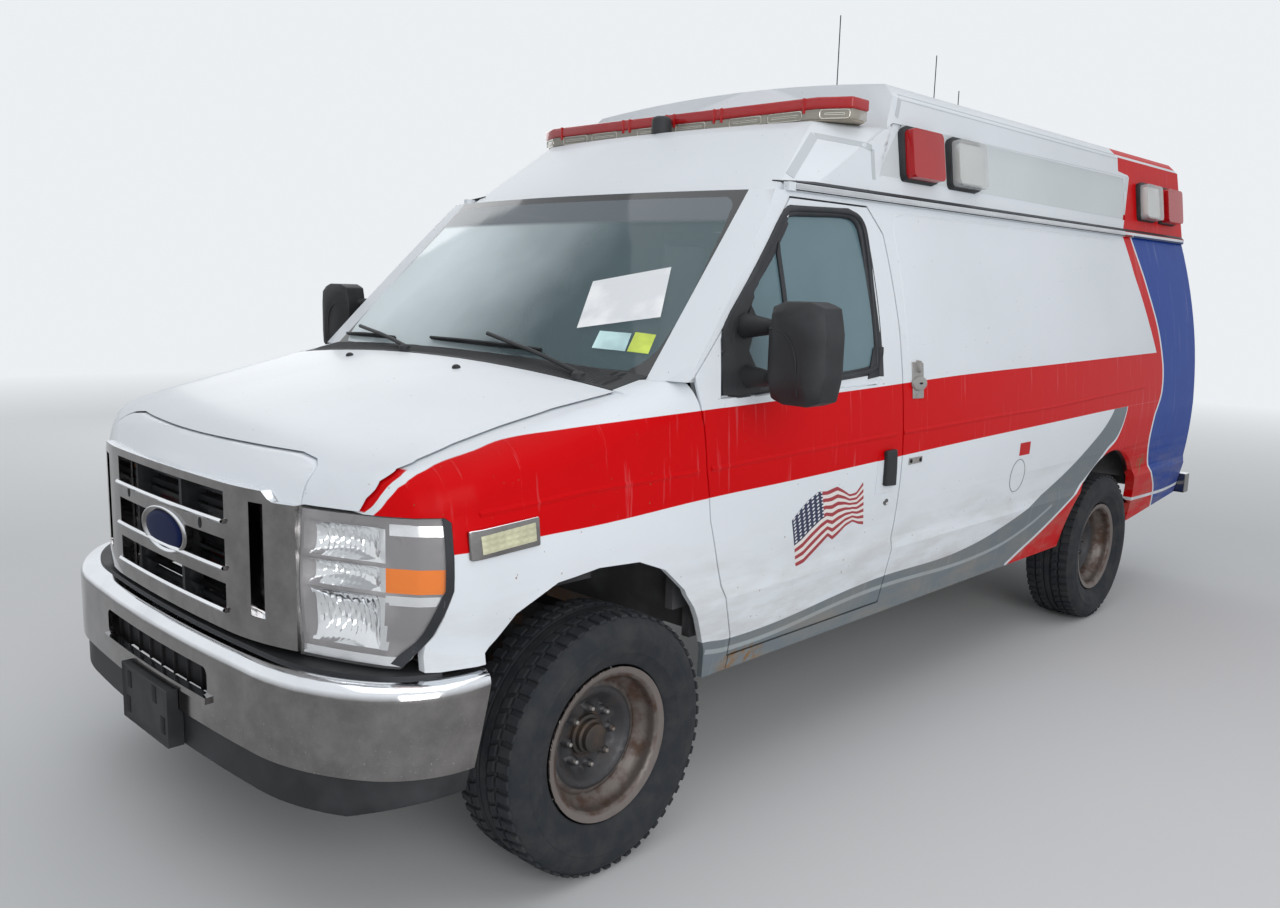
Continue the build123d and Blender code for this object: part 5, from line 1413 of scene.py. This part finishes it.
def dressMirror(node, side):
    low, high = Vector(mirrorSet["low"]), Vector(mirrorSet["high"])
    parts = mirrorHead(low, high)
    for height in mirrorSet["arms"]:
        start = Vector((*mirrorSet["root"], height))
        arm = [start, start + Vector((0.09, 0.0, 0.0)), start + Vector((0.155, -0.020, 0.0)),
               Vector((mirrorSet["armEnd"], (low.y + high.y) / 2, height))]
        parts.append(tube("arm", arm, 0.0195, 14, curved=True))
        parts.append(boss("cuff", start, (1, 0, 0), mirrorSet["cuff"]))
    find = sideFinder("front_door_left", "front_door_glass_left", "side_panel_left", "front_fenders")
    ring = mirrorSet["patch"]
    middle = [sum(values) / len(ring) for values in zip(*ring)]

    def patchSpot(u, v):
        spot = walk(ring + ring[:1], u)[0]
        return find(*[centre + (edge - centre) * v for centre, edge in zip(middle, spot)])
    parts.append(laid("patch", patchSpot, 42, 6, mirrorSet["patchThick"]))
    black = joined(parts, node + ".shell")
    rearY, frontY = (high.y + depth for depth in mirrorSet["paneDepth"])
    panes = [block(name, (low.x + margin, rearY, foot), (high.x - margin, frontY, head), 0.0006)
             for name, (margin, foot, head) in mirrorSet["panes"].items()]
    silver = joined(panes, node + ".panes")
    if side < 0:
        leftHalves = black, silver
        black, silver = mirrored(black, node + ".shell"), mirrored(silver, node + ".panes")
        for obj in leftHalves:
            bpy.data.objects.remove(obj)
    finishPiece(black, blackPlastic, bodyOf[node], replaces=(node,))
    finishPiece(silver, mirrorGlass, bodyOf[node])


# Flag on the door: a waving grid that its own UV map draws on

flagSet = {"head": [(0.778, 0.901), (0.815, 0.930), (0.858, 0.958), (0.913, 0.980), (0.961, 0.976),
                    (1.020, 0.985), (1.060, 0.968), (1.100, 0.948), (1.140, 0.950), (1.178, 0.982)],
           "foot": [(0.838, 0.736), (0.880, 0.742), (0.935, 0.775), (1.000, 0.815), (1.030, 0.798),
                    (1.060, 0.812), (1.100, 0.836), (1.140, 0.846), (1.180, 0.832), (1.214, 0.825)]}


def flagDecal():
    door = sideFinder("front_door_left")

    def spot(u, v):
        head, foot = walk(flagSet["head"], u)[0], walk(flagSet["foot"], u)[0]
        return door(*[low + (high - low) * v for low, high in zip(foot, head)])
    onDoor(laid("doorFlag", spot, 48, 26, 0.0004), flagPrint)


# Inside the cab: steering wheel and centre mirror

cabSet = {"wheelPlace": (0.42, 0.560 - frontAxle, 1.335), "wheelRadius": 0.190, "wheelLean": -58,
          "spokes": (200, 340, 270),
          "hub": [(-0.03, 0), (-0.03, 0.05), (0.012, 0.062), (0.022, 0.04), (0.024, 0)],
          "column": (0, -0.16, -0.10), "mirror": ((-0.12, 0.050, 1.765), (0.12, 0.072, 1.825)),
          "glassHead": 1.86}


def dressCab():
    centre, radius = Vector(cabSet["wheelPlace"]), cabSet["wheelRadius"]
    lean = Matrix.Rotation(math.radians(cabSet["wheelLean"]), 4, 'X')
    ring = [centre + lean @ Vector((x, y, 0)) for x, y in circle(radius)]
    parts = [tube("rim", ring, 0.015, 10, closed=True)]
    for angle in cabSet["spokes"]:
        turn = math.radians(angle)
        end = centre + lean @ Vector((radius * math.cos(turn), radius * math.sin(turn), 0))
        parts.append(tube("spoke", [centre, end], 0.014, 8))
    parts.append(boss("hub", centre, lean @ Vector((0, 0, 1)), cabSet["hub"]))
    parts.append(tube("column", [centre, centre + Vector(cabSet["column"])], 0.030, 12))
    finishPiece(joined(parts, "steeringWheel"), blackPlastic)
    glassHead = onGlass(0.0, cabSet["glassHead"])[0]
    low, high = [(x, glassHead.y + y, z) for x, y, z in cabSet["mirror"]]
    head = block("cabMirror", low, high, 0.008)
    ends = [glassHead + Vector((0, 0.010, 0)), Vector((0, glassHead.y + 0.060, 1.81))]
    stalk = tube("stalk", ends, 0.007, 8)
    finishPiece(joined([head, stalk], "cabMirror"), blackPlastic)


# Rear and cargo doors: window rubbers, handle and hinges

rearSet = {"rubberMargin": 0.012, "rubberCorner": 0.05, "handleHeight": 1.02, "hinges": (0.78, 1.45, 1.80),
           "handle": ((-0.185, -0.002, -0.045), (-0.055, 0.010, 0.045)),
           "grip": [(-0.165, 0.008), (-0.155, 0.018), (-0.085, 0.018), (-0.075, 0.008)],
           "leaf": {1: (-0.077, -0.002), -1: (0.004, 0.075)}, "leafDepth": (-0.001, 0.005), "leafHalf": 0.030,
           "pinIn": 0.004, "pin": [(-0.04, 0), (-0.04, 0.007), (0.04, 0.007), (0.04, 0)]}


def windowRing(node):
    low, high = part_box(node)
    along = 0 if node.startswith("rear") else 1
    wide, tall = (high[n] - low[n] + rearSet["rubberMargin"] for n in (along, 2))
    middle, z = ((low[n] + high[n]) / 2 for n in (along, 2))
    loop = [(middle + off, z + rise) for off, _, rise in roundedLoop(wide, tall, rearSet["rubberCorner"])]
    if along == 0:
        return [Vector((x, high[1] + 0.001, z)) for x, z in loop]
    skin = skinOf(node, node.replace("_glass", ""))
    return [reach(skin, (-1.5, y, z), (1, 0, 0))[0] for y, z in loop]


def dressRear():
    for node in ("rear_door_glass_left", "side_door_glass_front", "rear_door_glass_right",
                 "side_door_glass_rear"):
        rubber = tube(node + ".rubber", windowRing(node), 0.009, 8, closed=True)
        finishPiece(rubber, trimRubber, bodyOf[node])
    doorY = max(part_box("rear_door_left")[1][1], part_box("rear_door_right")[1][1])
    height = rearSet["handleHeight"]
    plateLow, plateHigh = [(x, doorY + y, height + z) for x, y, z in rearSet["handle"]]
    grip = tube("rearHandleGrip", [(x, doorY + y, height) for x, y in rearSet["grip"]], 0.006, 8)
    handle = block("rearHandlePlate", plateLow, plateHigh, 0.006, 3)
    finishPiece(joined([handle, grip], "rearHandle"), blackPlastic, bodyOf["rear_door_right"])
    half = rearSet["leafHalf"]
    front, rear = rearSet["leafDepth"]
    for side, node in ((1, "rear_door_left"), (-1, "rear_door_right")):
        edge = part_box(node)[1 if side > 0 else 0][0]
        left, right = rearSet["leaf"][side]
        parts = []
        for height in rearSet["hinges"]:
            parts.append(block("leaf", (edge + left, doorY + front, height - half),
                               (edge + right, doorY + rear, height + half)))
            parts.append(lathe("pin", rearSet["pin"], 'Z',
                               (edge - side * rearSet["pinIn"], doorY + 0.001, height), 12))
        finishPiece(joined(parts, f"rearHinges{side}"), blackPlastic, bodyOf[node])


lightBar()
roofLamps()
dressRoof()
for node in ("tyre_front_left", "tyre_front_right", "tyre_rear_left", "tyre_rear_right"):
    tyreAt(node)
dressHub("wheel_front_left")
dressHub("wheel_front_right")
dressMirror("mirror_left", 1)
dressMirror("mirror_right", -1)
flagDecal()
dressCab()
dressRear()
print("roof, tyres, mirrors, cab and rear made")


# Camera, lamps and floor. The camera stands where the photo was taken; focal and middle are its pixels

view = {"place": (2.9535, -3.8806, 1.6355), "yaw": 43.95, "pitch": 9.155, "roll": 1.6288,
        "focal": 1063.43, "middle": 455.37, "photo": (1280, 908), "sensor": 36.0, "reach": 200}


def aimCamera():
    yaw, pitch, roll = (math.radians(view[key]) for key in ("yaw", "pitch", "roll"))
    ahead = Vector((-math.sin(yaw) * math.cos(pitch), math.cos(yaw) * math.cos(pitch), -math.sin(pitch)))
    right = Vector((math.cos(yaw), math.sin(yaw), 0))
    upward = right.cross(ahead)
    turned = Matrix((math.cos(roll) * right + math.sin(roll) * upward,
                     math.cos(roll) * upward - math.sin(roll) * right,
                     -ahead))
    lens = bpy.data.cameras.new("camera")
    camera = added("camera", lens)
    camera.matrix_world = Matrix.Translation(view["place"]) @ turned.transposed().to_4x4()
    width, height = view["photo"]
    lens.sensor_width = view["sensor"]
    lens.lens = view["focal"] * view["sensor"] / width
    lens.shift_y = (view["middle"] - height / 2) / width
    lens.clip_end = view["reach"]
    bpy.context.scene.camera = camera


# The sky is brighter where it is seen straight, mirrored or through glass than as a lamp
backdrop = {"colour": (0.90, 0.93, 0.96, 1), "glow": 0.93, "lamp": 0.50}
lamps = {
    "overhead": {"place": (1.0, -1.0, 7.5), "aim": (0, 0, 0.8), "size": 9.0, "power": 182},
    "frontLeft": {"place": (7.5, -4.8, 3.4), "aim": (0, 0, 1.5), "size": 5.0, "power": 320},
    "farSide": {"place": (-7.0, 3.0, 4.0), "aim": (0, 0, 1.2), "size": 6.0, "power": 150},
}


def seenDirectly():
    path = newNode("LightPath")
    return either(*[path.outputs[f"Is {kind} Ray"] for kind in ("Camera", "Glossy", "Transmission")])


def lightScene():
    for name, lamp in lamps.items():
        light = bpy.data.lights.new(name, 'AREA')
        light.size = lamp["size"]
        light.energy = lamp["power"]
        obj = added(name, light)
        obj.location = lamp["place"]
        obj.rotation_euler = (Vector(lamp["aim"]) - Vector(lamp["place"])).to_track_quat('-Z', 'Y').to_euler()
    world = bpy.data.worlds.new("sky")
    bpy.context.scene.world = world
    world.use_nodes = True
    inHand["tree"] = world.node_tree
    sky = world.node_tree.nodes["Background"]
    link(backdrop["colour"], sky.inputs["Color"])
    link(spread(seenDirectly(), 0.0, 1.0, backdrop["lamp"], backdrop["glow"]), sky.inputs["Strength"])


floorSet = {"size": 90, "shades": ((0.60, 0.61, 0.62), (0.64, 0.65, 0.655)), "fade": (4.5, 15.0)}


def layFloor():
    # a pale floor that fades into the sky away from the van
    floor = named(primitive(bpy.ops.mesh.primitive_plane_add, size=floorSet["size"], location=(0, 0, 0)),
                  "floor")
    material, shader = newMaterial("floorPaint")
    vector = place()[0]
    feed(shader, colour=mix(noise(vector, 0.4, 2.0), *floorSet["shades"]), roughness=0.85)
    far = newNode("VectorMath")
    far.operation = 'LENGTH'
    link(vector, far.inputs[0])
    glow = newNode("Emission")
    link(backdrop["colour"], glow.inputs["Color"])
    link(backdrop["glow"], glow.inputs["Strength"])
    fade = newNode("MixShader")
    link(calc('MULTIPLY', spread(far.outputs["Value"], *floorSet["fade"]), seenDirectly()), fade.inputs[0])
    link(shader.outputs[0], fade.inputs[1])
    link(glow.outputs[0], fade.inputs[2])
    link(fade.outputs[0], material.node_tree.nodes["Material Output"].inputs["Surface"])
    floor.data.materials.append(material)


aimCamera()
lightScene()
layFloor()
bpy.context.scene.view_settings.view_transform = 'Standard'
